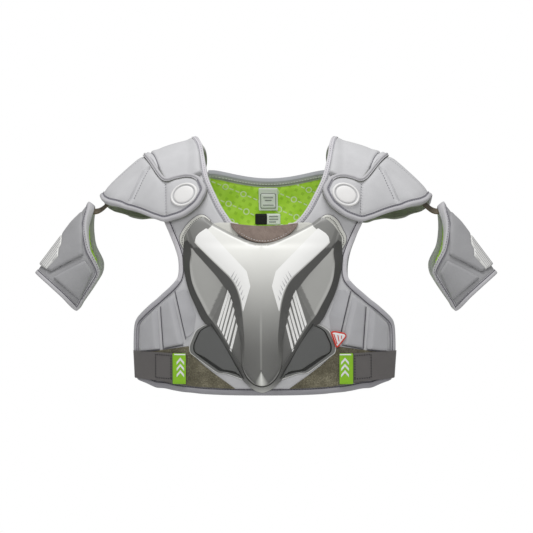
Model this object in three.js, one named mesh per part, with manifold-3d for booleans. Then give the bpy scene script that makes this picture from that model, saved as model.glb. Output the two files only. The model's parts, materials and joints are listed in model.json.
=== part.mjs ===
// Lacrosse shoulder pads, in millimetres: +Z up, -Y to the front, +X to the wearer's left.
// The origin lies midway between the shoulders, just under the ridge that the yokes sit on.
import * as THREE from 'three';
import Module from 'manifold-3d';
import { mergeVertices } from 'three/addons/utils/BufferGeometryUtils.js';

const gap = 0.4; // clear space kept between neighbouring pieces
const linerThick = 8; // padded vest
const liningThick = 1.6; // cloth inside the padding
const liningGap = 1.9; // between padding and lining
const vestBinding = { width: 11, proud: 1.1 }; // armholes, wings, hem
const neckBinding = { width: 7.5, proud: 1.1 };
const capThick = 11; // padded shoulder cap
const capBase = 1.8; // a cap's underside above the vest, clear of the bindings
const capBinding = { width: 6.5, proud: 1 };
const capRearDrop = 10; // how much lower the rear of a cap hangs
const torsoHalfWidth = 205;
const collarHeight = -105; // where the front liner ends and the yokes begin
const backNeck = { side: -29, dip: 12, reach: 82 }; // shallow rear neckline
const hemPower = 3; // the larger, the squarer the hem's ends

// Half-depths of the torso at each height; arm is the least half-depth, kept for the deltoids.
const torso = [
  { z: -370, front: 108, back: 94, arm: 0 },
  { z: -300, front: 116, back: 99, arm: 0 },
  { z: -230, front: 120, back: 105, arm: 0 },
  { z: -170, front: 117, back: 109, arm: 12 },
  { z: -105, front: 105, back: 106, arm: 48 },
  { z: -60, front: 92, back: 98, arm: 54 },
  { z: 20, front: 76, back: 86, arm: 54 },
];

// The shoulder's ridge and the fall from it to the upright chest, going outwards.
const shoulder = [
  { x: 0, ridge: 14, fall: 92 },
  { x: 95, ridge: 13, fall: 92 },
  { x: 120, ridge: 8, fall: 91 },
  { x: 146, ridge: 0, fall: 88 },
  { x: 158, ridge: -7, fall: 85 },
  { x: 179, ridge: -23, fall: 76 },
  { x: 198, ridge: -39, fall: 68 },
  { x: 215, ridge: -55, fall: 62 },
  { x: 234, ridge: -76, fall: 56 },
];

// Front vest outline: half-width at the armhole and wing, and the height of the same row in the middle.
const frontRows = [
  { z: -105, half: 144, middle: -105 },
  { z: -125, half: 135, middle: -125 },
  { z: -142, half: 128, middle: -142 },
  { z: -159, half: 123, middle: -160 },
  { z: -177, half: 122.5, middle: -178 },
  { z: -188, half: 126, middle: -192 },
  { z: -203, half: 140.5, middle: -208 },
  { z: -220, half: 161, middle: -226 },
  { z: -238, half: 180, middle: -244 },
  { z: -250, half: 186.5, middle: -258 },
  { z: -270, half: 188.5, middle: -280 },
  { z: -298, half: 188, middle: -308 },
  { z: -322, half: 186, middle: -332 },
  { z: -331, half: 182, middle: -346 },
  { z: -336, half: 175, middle: -357 },
];

// Back vest outline, plain.
const backRows = [
  { z: -30, half: 152, middle: -42 },
  { z: -60, half: 150, middle: -66 },
  { z: -105, half: 136, middle: -108 },
  { z: -160, half: 117, middle: -160 },
  { z: -205, half: 121, middle: -205 },
  { z: -250, half: 144, middle: -252 },
  { z: -290, half: 154, middle: -296 },
  { z: -320, half: 150, middle: -330 },
  { z: -332, half: 140, middle: -344 },
];

// A yoke from the collar (t 1) over the ridge (t 0) to the rear neckline (t -1).
const yokeRows = [
  { t: -1, inner: 82, outer: 152 },
  { t: -0.5, inner: 85, outer: 158 },
  { t: 0, inner: 94, outer: 162 },
  { t: 0.3, inner: 89.5, outer: 161 },
  { t: 0.6, inner: 83, outer: 158 },
  { t: 0.8, inner: 69.5, outer: 155 },
  { t: 1, inner: 52, outer: 144 },
];
const yokeBlockRows = [
  { t: -0.62, inner: 99, outer: 140 },
  { t: -0.3, inner: 101, outer: 149 },
  { t: 0, inner: 103, outer: 157 },
  { t: 0.3, inner: 100, outer: 149 },
  { t: 0.55, inner: 97, outer: 138 },
];
const yokeBlockThick = 6;

// A cap's front edges, going outwards: upper edge and lower edge; at the ridge it has no upper edge.
const capRows = [
  { x: 82.5, top: -59, low: -63, swell: 0.8 },
  { x: 84, top: -54.5, low: -69, swell: 0.9 },
  { x: 90, top: -47, low: -77, swell: 1 },
  { x: 98, top: -42, low: -85, swell: 1 },
  { x: 110, top: -40, low: -93, swell: 1 },
  { x: 125, top: -42.5, low: -98.5, swell: 1 },
  { x: 137, top: -45.5, low: -100.5, swell: 0.95 },
  { x: 141, top: -44, low: -101, swell: 0.72 },
  { x: 145, top: -39.5, low: -100.5, swell: 0.95 },
  { x: 152, top: -29.5, low: -97.5, swell: 1 },
  { x: 160, top: -19.5, low: -95, swell: 1 },
  { x: 165, top: -15, low: -93, swell: 1 },
  { x: 174, top: null, low: -90.5, swell: 1 },
  { x: 188, top: null, low: -87.5, swell: 1 },
  { x: 204, top: null, low: -86, swell: 1 },
  { x: 219, top: null, low: -85.5, swell: 1 },
  { x: 226, top: null, low: -85, swell: 1 },
  { x: 231, top: null, low: -81, swell: 1 },
];
const badge = { x: 113.5, z: -67.5, radius: 19.4, thick: 2.2 };

// Chest plate, right half: neck edge, top and foot of the raised Y, outer side of the recess, edge.
// crown, ySide and lift are the heights above the vest of the middle, of the Y's sides and of the recess.
const plateRows = [
  { z: -97, neck: 88, yTop: 91.5, yFoot: 92.5, recess: 93.5, edge: 95, crown: 6, ySide: 5, lift: 4 },
  { z: -106, neck: 77, yTop: 101, yFoot: 102.5, recess: 104, edge: 106, crown: 10, ySide: 9, lift: 6 },
  { z: -116, neck: 60, yTop: 107, yFoot: 108.5, recess: 110, edge: 112, crown: 12, ySide: 11, lift: 7 },
  { z: -127.5, neck: 39, yTop: 108.5, yFoot: 110.5, recess: 112, edge: 114.5, crown: 14, ySide: 12, lift: 8 },
  { z: -133.5, neck: 16, yTop: 101, yFoot: 107, recess: 109, edge: 115.5, crown: 15, ySide: 13, lift: 8 },
  { z: -136, neck: 0, yTop: 98.5, yFoot: 105, recess: 106.5, edge: 116, crown: 15, ySide: 13, lift: 8 },
  { z: -145, neck: 0, yTop: 89, yFoot: 98.5, recess: 101, edge: 116, crown: 18, ySide: 14, lift: 8 },
  { z: -162, neck: 0, yTop: 69, yFoot: 81, recess: 102, edge: 116, crown: 21, ySide: 17, lift: 9 },
  { z: -188, neck: 0, yTop: 42.5, yFoot: 57.5, recess: 98.5, edge: 110.5, crown: 25, ySide: 21, lift: 9 },
  { z: -210, neck: 0, yTop: 32, yFoot: 44, recess: 91.5, edge: 103, crown: 27, ySide: 23, lift: 9 },
  { z: -236, neck: 0, yTop: 27, yFoot: 35.5, recess: 76, edge: 92, crown: 29, ySide: 25, lift: 9 },
  { z: -262, neck: 0, yTop: 25, yFoot: 30, recess: 62, edge: 75.5, crown: 30, ySide: 26, lift: 9 },
  { z: -290, neck: 0, yTop: 25.5, yFoot: 27.5, recess: 45, edge: 59, crown: 30, ySide: 26, lift: 10 },
  { z: -313, neck: 0, yTop: 26, yFoot: 29, recess: 31.5, edge: 41, crown: 29, ySide: 22, lift: 12 },
  { z: -326, neck: 0, yTop: 14, yFoot: 19, recess: 22, edge: 30, crown: 28, ySide: 18, lift: 12 },
  { z: -342, neck: 0, yTop: 6, yFoot: 9, recess: 11, edge: 15, crown: 14, ySide: 10, lift: 7 },
  { z: -350, neck: 0, yTop: 1.2, yFoot: 1.8, recess: 2.4, edge: 3.5, crown: 4, ySide: 4, lift: 3.5 },
];
const plateBed = { middle: 1.4, rim: 2 }; // the plate's underside above the vest
const plateEdgeLift = 3;
const plateBevel = 6.5; // width of the bevel along the neck

// A wing plate's rows from its upper end down: the end along the chest plate and the outer end.
const wingPlateRows = [
  { v: 0, innerX: 84.5, innerZ: -257, outerX: 95.5, outerZ: -261.5 },
  { v: 0.3, innerX: 74.5, innerZ: -271, outerX: 102.5, outerZ: -280 },
  { v: 0.55, innerX: 62.5, innerZ: -288, outerX: 106.5, outerZ: -294 },
  { v: 0.75, innerX: 54, innerZ: -301, outerX: 98, outerZ: -305 },
  { v: 1, innerX: 45.5, innerZ: -318, outerX: 68, outerZ: -325 },
];
const wingPlateLift = { bed: 0.9, rim: 3, face: 8 };

// Foam pads of a wing, as the corners of each: the outer ones first.
const wingPads = [
  {
    name: 'outer',
    outerTop: [178.5, -257],
    outerLow: [180, -288],
    innerLow: [152, -286.5],
    innerTop: [157, -235],
  },
  {
    name: 'middle',
    outerTop: [151, -227],
    outerLow: [146, -287],
    innerLow: [118.5, -282.5],
    innerTop: [136, -214],
  },
  {
    name: 'inner',
    outerTop: [128, -209],
    outerLow: [113.5, -274],
    innerLow: [100, -253],
    innerTop: [114, -205],
  },
];
const wingPadThick = 4.5;

// A loop panel's rows from its upper edge to the hem: outer and inner ends.
const loopRows = [
  { v: 0, outerX: 180, outerZ: -294.5, innerX: 112, innerZ: -285.5 },
  { v: 0.45, outerX: 179, outerZ: -307, innerX: 105.5, innerZ: -303 },
  { v: 0.8, outerX: 176, outerZ: -317, innerX: 70, innerZ: -327 },
  { v: 1, outerX: 166, outerZ: -325, innerX: 47, innerZ: -344 },
];
const loopThick = 1.8;

const belt = {
  start: 129.5, wing: 184, back: 150, end: 118, // across, from the front end to the rear end
  low: -336, high: -294, lift: 2.7, thick: 1.8,
  leave: 21, arrive: 30, // how far it runs on before it turns round the side
};
const pullTab = { inner: 110.5, outer: 129, low: -338, high: -294.5, lift: 2.7, thick: 3 };
const neckTab = { half: 49, top: -106, bottom: -133, thick: 2.8 };
const flange = { width: 6.5, thick: 2 };
const flagLabel = { x: [98, 120, 107], z: [-264, -266, -285], lift: 5.2, thick: 0.8 };
const innerLabels = [
  { name: 'neck_label', left: -15, right: 13, top: -48, low: -85 },
  { name: 'size_label', left: -20.5, right: 16.5, top: -89.5, low: -106 },
];
const labelThick = 0.8;

// Arm guard, in its own frame: s runs down the arm, angles go round it from the outermost line.
const arm = { x: 264, z: -81, tilt: 37, middle: -51, across: 50, deep: 46, thick: 9, proud: 1 };
const armRows = [
  { s: -9, front: 14, rear: 14 },
  { s: -5, front: 29, rear: 31 },
  { s: 12, front: 46, rear: 54 },
  { s: 24, front: 58, rear: 70 },
  { s: 35, front: 72.5, rear: 86 },
  { s: 46, front: 87, rear: 112 },
  { s: 52, front: 102, rear: 119 },
  { s: 58, front: 117, rear: 123 },
  { s: 66, front: 124.5, rear: 126 },
  { s: 92, front: 127, rear: 128 },
  { s: 108, front: 128, rear: 129 },
  { s: 114, front: 125, rear: 126 },
  { s: 119, front: 114, rear: 116 },
];
const armHemSlant = 8; // how much lower the inner corners hang
const armBinding = { width: 7.5, proud: 0.9 };
const armPads = [
  { name: 'upper', outerTop: [22, 14], outerLow: [30, 96], innerLow: [92, 62], innerTop: [45, 28] },
  { name: 'lower', outerTop: [36, 101], outerLow: [40, 109], innerLow: [110, 114], innerTop: [106, 73] },
];
const armPadThick = 3.5;
const armRidge = { from: -16, to: 16, top: 46, low: 104, thick: 3.5 };
const armStrap = { halfWidth: 13, thick: 2 };

const clamp = (value, low, high) => Math.min(Math.max(value, low), high);
const mix = (a, b, t) => a + (b - a) * t;
const degrees = Math.PI / 180;

// A column of a table at any key, eased through the rows.
function read(table, key, column, at) {
  const last = table.length - 1;
  const rising = table[last][key] > table[0][key];
  const rows = rising ? table : [...table].reverse();
  const value = clamp(at, rows[0][key], rows[last][key]);
  let i = 0;
  while (i < last - 1 && rows[i + 1][key] < value) i += 1;
  const slope = (k) => {
    const a = rows[Math.max(k - 1, 0)];
    const b = rows[Math.min(k + 1, last)];
    return (b[column] - a[column]) / (b[key] - a[key]);
  };
  const span = rows[i + 1][key] - rows[i][key];
  const t = (value - rows[i][key]) / span;
  const start = rows[i][column];
  const end = rows[i + 1][column];
  const ease = t * t * (3 - 2 * t);
  const lead = t * (1 - t) * (1 - t) * slope(i);
  const tail = t * t * (1 - t) * slope(i + 1);
  return start + (end - start) * ease + (lead - tail) * span;
}

// Outer face of the vest. Girth is 0 on the shoulder's ridge, 1 where the chest turns upright and grows
// downwards; it is negative on the back.
function vestPoint(x, girth) {
  const across = Math.abs(x);
  const turn = Math.abs(girth);
  const ridge = read(shoulder, 'x', 'ridge', across);
  const fall = read(shoulder, 'x', 'fall', across);
  const angle = (1 - Math.min(turn, 1)) * Math.PI / 2;
  const drop = turn < 1 ? fall * (1 - Math.sin(angle)) : fall * (1 + (turn - 1) * Math.PI / 2);
  const z = ridge - drop;
  const round = Math.sqrt(Math.max(0, 1 - (x / torsoHalfWidth) ** 2));
  const chest = read(torso, 'z', girth > 0 ? 'front' : 'back', z) * round;
  const depth = Math.pow(chest ** 4 + read(torso, 'z', 'arm', z) ** 4, 0.25);
  return new THREE.Vector3(x, -Math.sign(girth) * depth * Math.cos(angle), z);
}

function girthAt(x, z) {
  const fall = read(shoulder, 'x', 'fall', Math.abs(x));
  const drop = Math.max(read(shoulder, 'x', 'ridge', Math.abs(x)) - z, 0) / fall;
  return drop < 1 ? 1 - Math.asin(1 - drop) / (Math.PI / 2) : 1 + (drop - 1) / (Math.PI / 2);
}

// A point at a height above the vest's outer face.
function vestPlace(x, girth, lift) {
  const point = vestPoint(x, girth);
  const across = vestPoint(x + 0.5, girth).sub(vestPoint(x - 0.5, girth));
  const down = vestPoint(x, girth + 0.01).sub(vestPoint(x, girth - 0.01));
  return point.addScaledVector(down.cross(across).normalize(), lift);
}
const frontPlace = (x, z, lift) => vestPlace(x, girthAt(x, z), lift);
const backPlace = (x, z, lift) => vestPlace(x, -girthAt(x, z), lift);

// How much longer a step across the vest is than its picture from the front.
function stretch(x, z, place) {
  return place(x + 1, z, 0).distanceTo(place(x - 1, z, 0)) / 2;
}

// A closed body from points and triangles, turned so that its faces look out.
function body(points, triangles) {
  const volume = triangles.reduce((sum, [a, b, c]) => {
    return sum + points[a].dot(points[b].clone().cross(points[c]));
  }, 0);
  const faces = volume < 0 ? triangles.map(([a, b, c]) => [a, c, b]) : triangles;
  const geometry = new THREE.BufferGeometry().setFromPoints(points);
  geometry.setIndex(faces.flat());
  return geometry;
}

// A padded wall over a grid: place gives a point for a row, a column and a face (0 inner, 1 outer).
function wall(rows, columns, place) {
  const points = [];
  const index = (row, column, face) => ((row * (columns + 1)) + column) * 2 + face;
  for (let row = 0; row <= rows; row += 1) {
    for (let column = 0; column <= columns; column += 1) {
      points.push(place(row / rows, column / columns, 0));
      points.push(place(row / rows, column / columns, 1));
    }
  }
  const triangles = [];
  const quad = (a, b, c, d) => triangles.push([a, b, c], [a, c, d]);
  for (let row = 0; row < rows; row += 1) {
    for (let column = 0; column < columns; column += 1) {
      const corners = [[row, column], [row, column + 1], [row + 1, column + 1], [row + 1, column]];
      const [a, b, c, d] = corners.map(([r, k]) => index(r, k, 1));
      const [e, f, g, h] = corners.map(([r, k]) => index(r, k, 0));
      quad(a, b, c, d);
      quad(h, g, f, e);
    }
  }
  const rim = [];
  for (let column = 0; column < columns; column += 1) rim.push([0, column]);
  for (let row = 0; row < rows; row += 1) rim.push([row, columns]);
  for (let column = columns; column > 0; column -= 1) rim.push([rows, column]);
  for (let row = rows; row > 0; row -= 1) rim.push([row, 0]);
  rim.forEach(([row, column], i) => {
    const [nextRow, nextColumn] = rim[(i + 1) % rim.length];
    quad(
      index(nextRow, nextColumn, 1),
      index(row, column, 1),
      index(row, column, 0),
      index(nextRow, nextColumn, 0),
    );
  });
  return body(points, triangles);
}

// A solid through a run of rings with the same number of points each.
function loft(rings, closed) {
  const size = rings[0].length;
  const points = rings.flat();
  const triangles = [];
  const spans = closed ? rings.length : rings.length - 1;
  for (let i = 0; i < spans; i += 1) {
    const here = i * size;
    const next = ((i + 1) % rings.length) * size;
    for (let k = 0; k < size; k += 1) {
      const step = (k + 1) % size;
      triangles.push([here + k, here + step, next + step], [here + k, next + step, next + k]);
    }
  }
  if (!closed) {
    const last = (rings.length - 1) * size;
    for (let k = 1; k < size - 1; k += 1) {
      triangles.push([0, k + 1, k], [last, last + k, last + k + 1]);
    }
  }
  return body(points, triangles);
}

// Binding tape folded over an edge: the path runs along the edge with the padding on its inner side.
function edging(path, place, tape, thick, side, closed = false) {
  const count = path.length;
  const at = (i) => path[closed ? (i + count) % count : clamp(i, 0, count - 1)];
  const section = [
    [0, -thick / 2],
    [2, tape.proud],
    [tape.width, tape.proud],
    [tape.width, -thick - tape.proud],
    [2, -thick - tape.proud],
  ];
  const rings = path.map(([a, b], i) => {
    const point = place(a, b, 0);
    const normal = place(a, b, 1).sub(point).normalize();
    const along = place(...at(i + 1), 0).sub(place(...at(i - 1), 0));
    const inward = normal.clone().cross(along).normalize().multiplyScalar(side);
    return section.map(([inset, lift]) => {
      return point.clone().addScaledVector(inward, inset).addScaledVector(normal, lift);
    });
  });
  return loft(rings, closed);
}

// A slab with four corners on a surface, bent to it.
function quadPad(corners, place, low, high, rows = 3, columns = 3) {
  const { outerTop, outerLow, innerLow, innerTop } = corners;
  return wall(rows, columns, (v, u, face) => {
    const a = mix(mix(outerTop[0], innerTop[0], u), mix(outerLow[0], innerLow[0], u), v);
    const b = mix(mix(outerTop[1], innerTop[1], u), mix(outerLow[1], innerLow[1], u), v);
    const inset = face * 0.06;
    const middleA = (outerTop[0] + outerLow[0] + innerLow[0] + innerTop[0]) / 4;
    const middleB = (outerTop[1] + outerLow[1] + innerLow[1] + innerTop[1]) / 4;
    return place(mix(a, middleA, inset), mix(b, middleB, inset), face ? high : low);
  });
}

// An edge, given in millimetres across at each station along it, moved inwards by a distance.
function insetEdge(edge, at, distance) {
  let least = Infinity;
  for (let k = -6; k <= 6; k += 1) {
    const step = distance * k / 6;
    least = Math.min(least, edge(at + step) - distance * Math.sqrt(1 - (k / 6) ** 2));
  }
  return least;
}

function mirrored(geometry) {
  const copy = geometry.clone().scale(-1, 1, 1);
  const index = copy.index.array;
  for (let i = 0; i < index.length; i += 3) {
    [index[i + 1], index[i + 2]] = [index[i + 2], index[i + 1]];
  }
  return copy;
}

const wasm = await Module();
wasm.setup();

function solidOf(geometry) {
  const merged = mergeVertices(geometry, 1e-4);
  return new wasm.Manifold(new wasm.Mesh({
    numProp: 3,
    vertProperties: new Float32Array(merged.attributes.position.array),
    triVerts: new Uint32Array(merged.index.array),
  }));
}

function joined(first, second) {
  const mesh = solidOf(first).add(solidOf(second)).getMesh();
  const geometry = new THREE.BufferGeometry();
  geometry.setAttribute('position', new THREE.BufferAttribute(new Float32Array(mesh.vertProperties), 3));
  geometry.setIndex(new THREE.BufferAttribute(new Uint32Array(mesh.triVerts), 1));
  return geometry;
}

const finish = (color, roughness) => new THREE.MeshStandardMaterial({ color, roughness, metalness: 0 });
const cloth = (color, roughness = 0.9) => finish(color, roughness);
const materials = {
  greyCloth: cloth(0xc6c6c9),
  padCloth: cloth(0xb4b5b8),
  tape: cloth(0xb4b3ba),
  darkLining: cloth(0x5c5f57),
  greenLining: cloth(0x83b83a),
  olive: cloth(0x5c5849, 1),
  elastic: cloth(0x5c5c5c),
  pull: cloth(0x86b52a),
  suede: cloth(0x8b7c72),
  label: cloth(0xeeeeec, 0.7),
  red: cloth(0xd24a3c, 0.7),
  whiteRidge: cloth(0xd2d3cf, 0.6),
  offWhite: cloth(0xd0cfc6, 0.7),
  plate: finish(0xa8a8a3, 0.45),
  darkPlate: finish(0x55575a, 0.4),
  badge: finish(0xe2e1e0, 0.5),
};

const pads = new THREE.Group();

function add(name, geometry, material, parent = pads) {
  const mesh = new THREE.Mesh(geometry, materials[material]);
  mesh.name = name;
  parent.add(mesh);
  return mesh;
}

function addPair(name, geometry, material) {
  add(`${name}_l`, geometry, material);
  add(`${name}_r`, mirrored(geometry), material);
}

// Front vest: the rows bow down towards the hem, and the edge stays clear of the binding.
const frontAt = (part) => mix(0, frontRows.length - 1, part);
const frontTable = frontRows.map((row, step) => ({ ...row, step }));
const backTable = backRows.map((row, step) => ({ ...row, step }));

function rowEdge(table, step) {
  return { half: read(table, 'step', 'half', step), z: read(table, 'step', 'z', step) };
}

function rowPoint(table, step, u, inset, place) {
  const { half, z } = rowEdge(table, step);
  const pull = stretch(half, z, place);
  const edge = insetEdge((at) => read(table, 'z', 'half', at) * pull, z, inset) / pull;
  const share = step / (table.length - 1);
  const rise = inset * Math.max(0, (share - 0.85) / 0.15);
  const middle = read(table, 'step', 'middle', step) + rise;
  return [edge * u, mix(z + rise, middle, 1 - Math.abs(u) ** hemPower)];
}

const frontInset = vestBinding.width + 6 * gap;
add('front_liner', wall(14, 12, (v, u, face) => {
  const [x, z] = rowPoint(frontTable, frontAt(v), 2 * u - 1, frontInset, frontPlace);
  return frontPlace(x, z, face ? 0 : -linerThick);
}), 'greyCloth');

// Armholes, wings and hem share one run of tape, from under one cap to under the other.
const sideRun = [[157, -76], [154.5, -86], [150, -96]];
for (let i = 0; i <= 16; i += 1) {
  const edge = rowEdge(frontTable, frontAt(i / 16));
  sideRun.push([edge.half, edge.z]);
}
const lastRow = frontRows[frontRows.length - 1];
const hemHeight = (u) => mix(lastRow.z, lastRow.middle, 1 - Math.abs(u) ** hemPower);
const hemRun = [];
for (let i = 4; i >= -4; i -= 1) hemRun.push([lastRow.half * i / 5, hemHeight(i / 5)]);
const otherSide = [...sideRun].reverse().map(([x, z]) => [-x, z]);
add('front_binding', edging(
  [...sideRun, ...hemRun, ...otherSide], frontPlace, vestBinding, linerThick, -1,
), 'tape');

// Back vest with its lining and bindings.
const backInset = vestBinding.width + 7 * gap;
function backPoint(v, u, inset, lift) {
  const step = v * (backRows.length - 1);
  const [x, z] = rowPoint(backTable, step, 2 * u - 1, inset, backPlace);
  const top = Math.max(0, 1 - v * 4);
  const reach = Math.min(Math.abs(x) / backNeck.reach, 1);
  const neck = backNeck.side - backNeck.dip * (1 - reach ** 2) ** 1.5 - neckBinding.width - 1.2;
  const ends = Math.abs(x) > backNeck.reach + 4 ? neckBinding.width : 0;
  return backPlace(x, mix(z, Math.min(neck + ends, -30), top ** 2), lift);
}
add('back_liner', wall(9, 12, (v, u, face) => {
  return backPoint(v, u, backInset, face ? 0 : -linerThick);
}), 'greyCloth');
add('back_lining', wall(8, 8, (v, u, face) => {
  const lift = -linerThick - liningGap - (face ? 0 : liningThick);
  return backPoint(0.02 + v * 0.96, u, backInset + 2, lift);
}), 'greenLining');

const neckRun = [];
for (let i = -6; i <= 6; i += 1) {
  const x = (backNeck.reach - 10) * i / 6;
  const reach = Math.abs(x) / backNeck.reach;
  neckRun.push([x, backNeck.side - backNeck.dip * (1 - reach ** 2) ** 1.5]);
}
add('back_neck_binding', edging(neckRun, backPlace, neckBinding, linerThick, 1), 'tape');

const backRun = [];
for (let i = 1; i <= 14; i += 1) {
  const edge = rowEdge(backTable, (backRows.length - 1) * i / 14);
  backRun.push([edge.half, edge.z]);
}
const backLast = backRows[backRows.length - 1];
const backHem = [];
for (let i = 6; i >= -6; i -= 1) {
  const u = i / 7;
  backHem.push([backLast.half * u, mix(backLast.z, backLast.middle, 1 - Math.abs(u) ** hemPower)]);
}
add('back_binding', edging(
  [...backRun, ...backHem, ...[...backRun].reverse().map(([x, z]) => [-x, z])],
  backPlace, vestBinding, linerThick, 1,
), 'tape');

// Yokes over the shoulders.
function yokeGirth(x, t) {
  const front = girthAt(x, collarHeight + gap);
  const back = girthAt(x, backNeck.side + gap);
  return t > 0 ? t * front : t * back;
}
const yokeStart = -0.985;
addPair('yoke', wall(11, 4, (v, u, face) => {
  const t = mix(yokeStart, 1, v);
  const inner = read(yokeRows, 't', 'inner', t) + neckBinding.width + (t > 0.7 ? 4.5 : 1.5);
  const outer = read(yokeRows, 't', 'outer', t) - (t > 0.6 ? frontInset + 3 : 0);
  const x = mix(inner, outer, u);
  return vestPlace(x, yokeGirth(x, t), face ? 0 : -linerThick);
}), 'greyCloth');
addPair('yoke_block', wall(7, 4, (v, u, face) => {
  const t = mix(-0.62, 0.55, v);
  const inset = face * 2;
  const inner = read(yokeBlockRows, 't', 'inner', t) + inset;
  const outer = read(yokeBlockRows, 't', 'outer', t) - inset;
  const x = mix(inner, outer, u);
  return vestPlace(x, yokeGirth(x, t * (1 - face * 0.04)), face ? yokeBlockThick : 4 * gap);
}), 'greyCloth');
const yokeNeckRun = [];
for (let i = 0; i <= 13; i += 1) {
  const t = mix(0.955, yokeStart, i / 13);
  const x = read(yokeRows, 't', 'inner', t);
  yokeNeckRun.push([x, yokeGirth(x, t)]);
}
addPair('neck_binding', edging(yokeNeckRun, vestPlace, neckBinding, linerThick, -1), 'tape');

// Shoulder caps: the front half and the rear half meet on the ridge.
const capFrom = capRows[0].x;
const capStations = [92, 99, 111, 125, 136, 141, 146, 153, 160, 168, 177, 193, 209, 223];

const capNotch = 165; // where the upper edge leaves for the ridge
const capGirth = 135; // millimetres to one unit of girth, near enough
const capUpper = capRows.filter((row) => row.top !== null);

// Girths of a cap's upper and lower edge; over the ridge the upper edge is out of reach.
function capEdges(x, rear) {
  const drop = rear ? capRearDrop * clamp((x - 140) / 30, 0, 1) : 0;
  const low = girthAt(x, read(capRows, 'x', 'low', x) - drop);
  const over = mix(0.2, -0.2, (x - capNotch) / 4);
  const top = x < capNotch ? girthAt(x, read(capUpper, 'x', 'top', x)) : over;
  return { low, top };
}

function capHalf(rear) {
  const sign = rear ? -1 : 1;
  const inset = capBinding.width + 3 * gap;
  return wall(capStations.length - 1, 5, (v, u, face) => {
    const x = capStations[Math.round(v * (capStations.length - 1))];
    const low = insetEdge((at) => capEdges(at, rear).low * capGirth, x, inset) / capGirth;
    const top = -insetEdge((at) => -capEdges(at, rear).top * capGirth, x, inset) / capGirth;
    const girth = mix(Math.max(top, 0), low, u) * sign;
    const swell = read(capRows, 'x', 'swell', x);
    return vestPlace(x, girth, capBase + face * capThick * swell);
  });
}
addPair('shoulder_cap', joined(capHalf(false), capHalf(true)), 'greyCloth');

// The tape runs once round each cap, front half and rear half.
function capRun(rear) {
  const sign = rear ? -1 : 1;
  const run = [];
  const lowXs = [231, 227, 218, 200, 182, 166, 152, 139, 125, 111, 98, 90];
  lowXs.forEach((x) => run.push([x, sign * capEdges(x, rear).low]));
  run.push([capFrom, sign * girthAt(capFrom, -61)]);
  [90, 98, 111, 125, 137, 145, 152].forEach((x) => run.push([x, sign * capEdges(x, rear).top]));
  run.push([160, sign * capEdges(160, rear).top]);
  run.push([165, sign * 0.16]);
  return run;
}
const capLoop = [[233, 0], ...capRun(false), [167, 0], ...capRun(true).reverse()];
const capFace = (x, girth, lift) => vestPlace(x, girth, lift + capBase + capThick);
addPair('cap_binding', edging(capLoop, capFace, capBinding, capThick - 1, -1, true), 'tape');

// Dark lining under each cap, clear of the yoke.
addPair('cap_lining', wall(4, 8, (v, u, face) => {
  const x = mix(177, 226, v);
  const front = capEdges(x, false).low - 0.1;
  const rear = capEdges(x, true).low - 0.05;
  return vestPlace(x, mix(-rear, front, u), -1.2 - (1 - face) * liningThick);
}), 'darkLining');

// Round badge on the front of each cap.
const badgeSeat = frontPlace(badge.x, badge.z, capBase + capThick + gap + badge.thick / 2);
const badgeTop = frontPlace(badge.x, badge.z, capThick + 20);
[1, -1].forEach((side) => {
  const disc = new THREE.CylinderGeometry(badge.radius - 0.8, badge.radius, badge.thick, 20);
  const mesh = add(side > 0 ? 'cap_badge_l' : 'cap_badge_r', disc, 'badge');
  const facing = badgeTop.clone().sub(badgeSeat).normalize();
  facing.x *= side;
  mesh.position.set(badgeSeat.x * side, badgeSeat.y, badgeSeat.z);
  mesh.quaternion.setFromUnitVectors(new THREE.Vector3(0, 1, 0), facing);
});

// Foam pads of the wings.
wingPads.forEach((pad) => {
  addPair(`wing_pad_${pad.name}`, quadPad(pad, frontPlace, gap, wingPadThick), 'padCloth');
});

// Chest plate: right half and its mirror meet in the middle below the neck.
function plateHalf() {
  const columns = 7;
  return wall(plateRows.length - 1, columns, (v, u, face) => {
    const row = plateRows[Math.round(v * (plateRows.length - 1))];
    const column = Math.round(u * columns);
    const open = row.neck > 0 || row.z === -136;
    const bevel = Math.min(plateBevel, (row.yTop - row.neck) * 0.3);
    const crown = open ? row.neck + bevel : row.yTop * 0.3;
    const half = mix(crown, row.yTop, 0.5);
    const xs = [row.neck, crown, half, row.yTop, row.yFoot, row.recess, row.edge - 1, row.edge];
    const side = mix(row.crown, row.ySide, 0.45);
    const first = open ? 3.5 : row.crown;
    const edge = Math.min(plateEdgeLift, row.lift);
    const top = mix(row.crown, side, 0.4);
    const lifts = [first, top, side, row.ySide, row.lift + 0.5, row.lift, edge + 1, edge];
    const bed = column < 5 ? plateBed.middle : plateBed.rim;
    return frontPlace(xs[column], row.z, face ? lifts[column] : bed);
  });
}
const rightPlate = plateHalf();
add('chest_plate', joined(rightPlate, mirrored(rightPlate)), 'plate');

// Off-white flange round the end of each arm of the plate.
const flangeRun = [
  [117.5, -127], [114.5, -117], [109, -108], [101.5, -100],
  [95, -94.5], [88.5, -93.5], [82, -97], [76.5, -102.5],
];
addPair('plate_flange', loft(flangeRun.map(([x, z], i) => {
  const [ax, az] = flangeRun[Math.max(i - 1, 0)];
  const [bx, bz] = flangeRun[Math.min(i + 1, flangeRun.length - 1)];
  const length = Math.hypot(bx - ax, bz - az);
  const outX = (bz - az) / length;
  const outZ = (ax - bx) / length;
  const taper = flange.width * (i === 0 || i === flangeRun.length - 1 ? 0.6 : 1);
  return [
    frontPlace(x, z, gap),
    frontPlace(x, z, flange.thick),
    frontPlace(x + outX * taper, z + outZ * taper, flange.thick),
    frontPlace(x + outX * taper, z + outZ * taper, gap),
  ];
}), false), 'offWhite');

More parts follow.
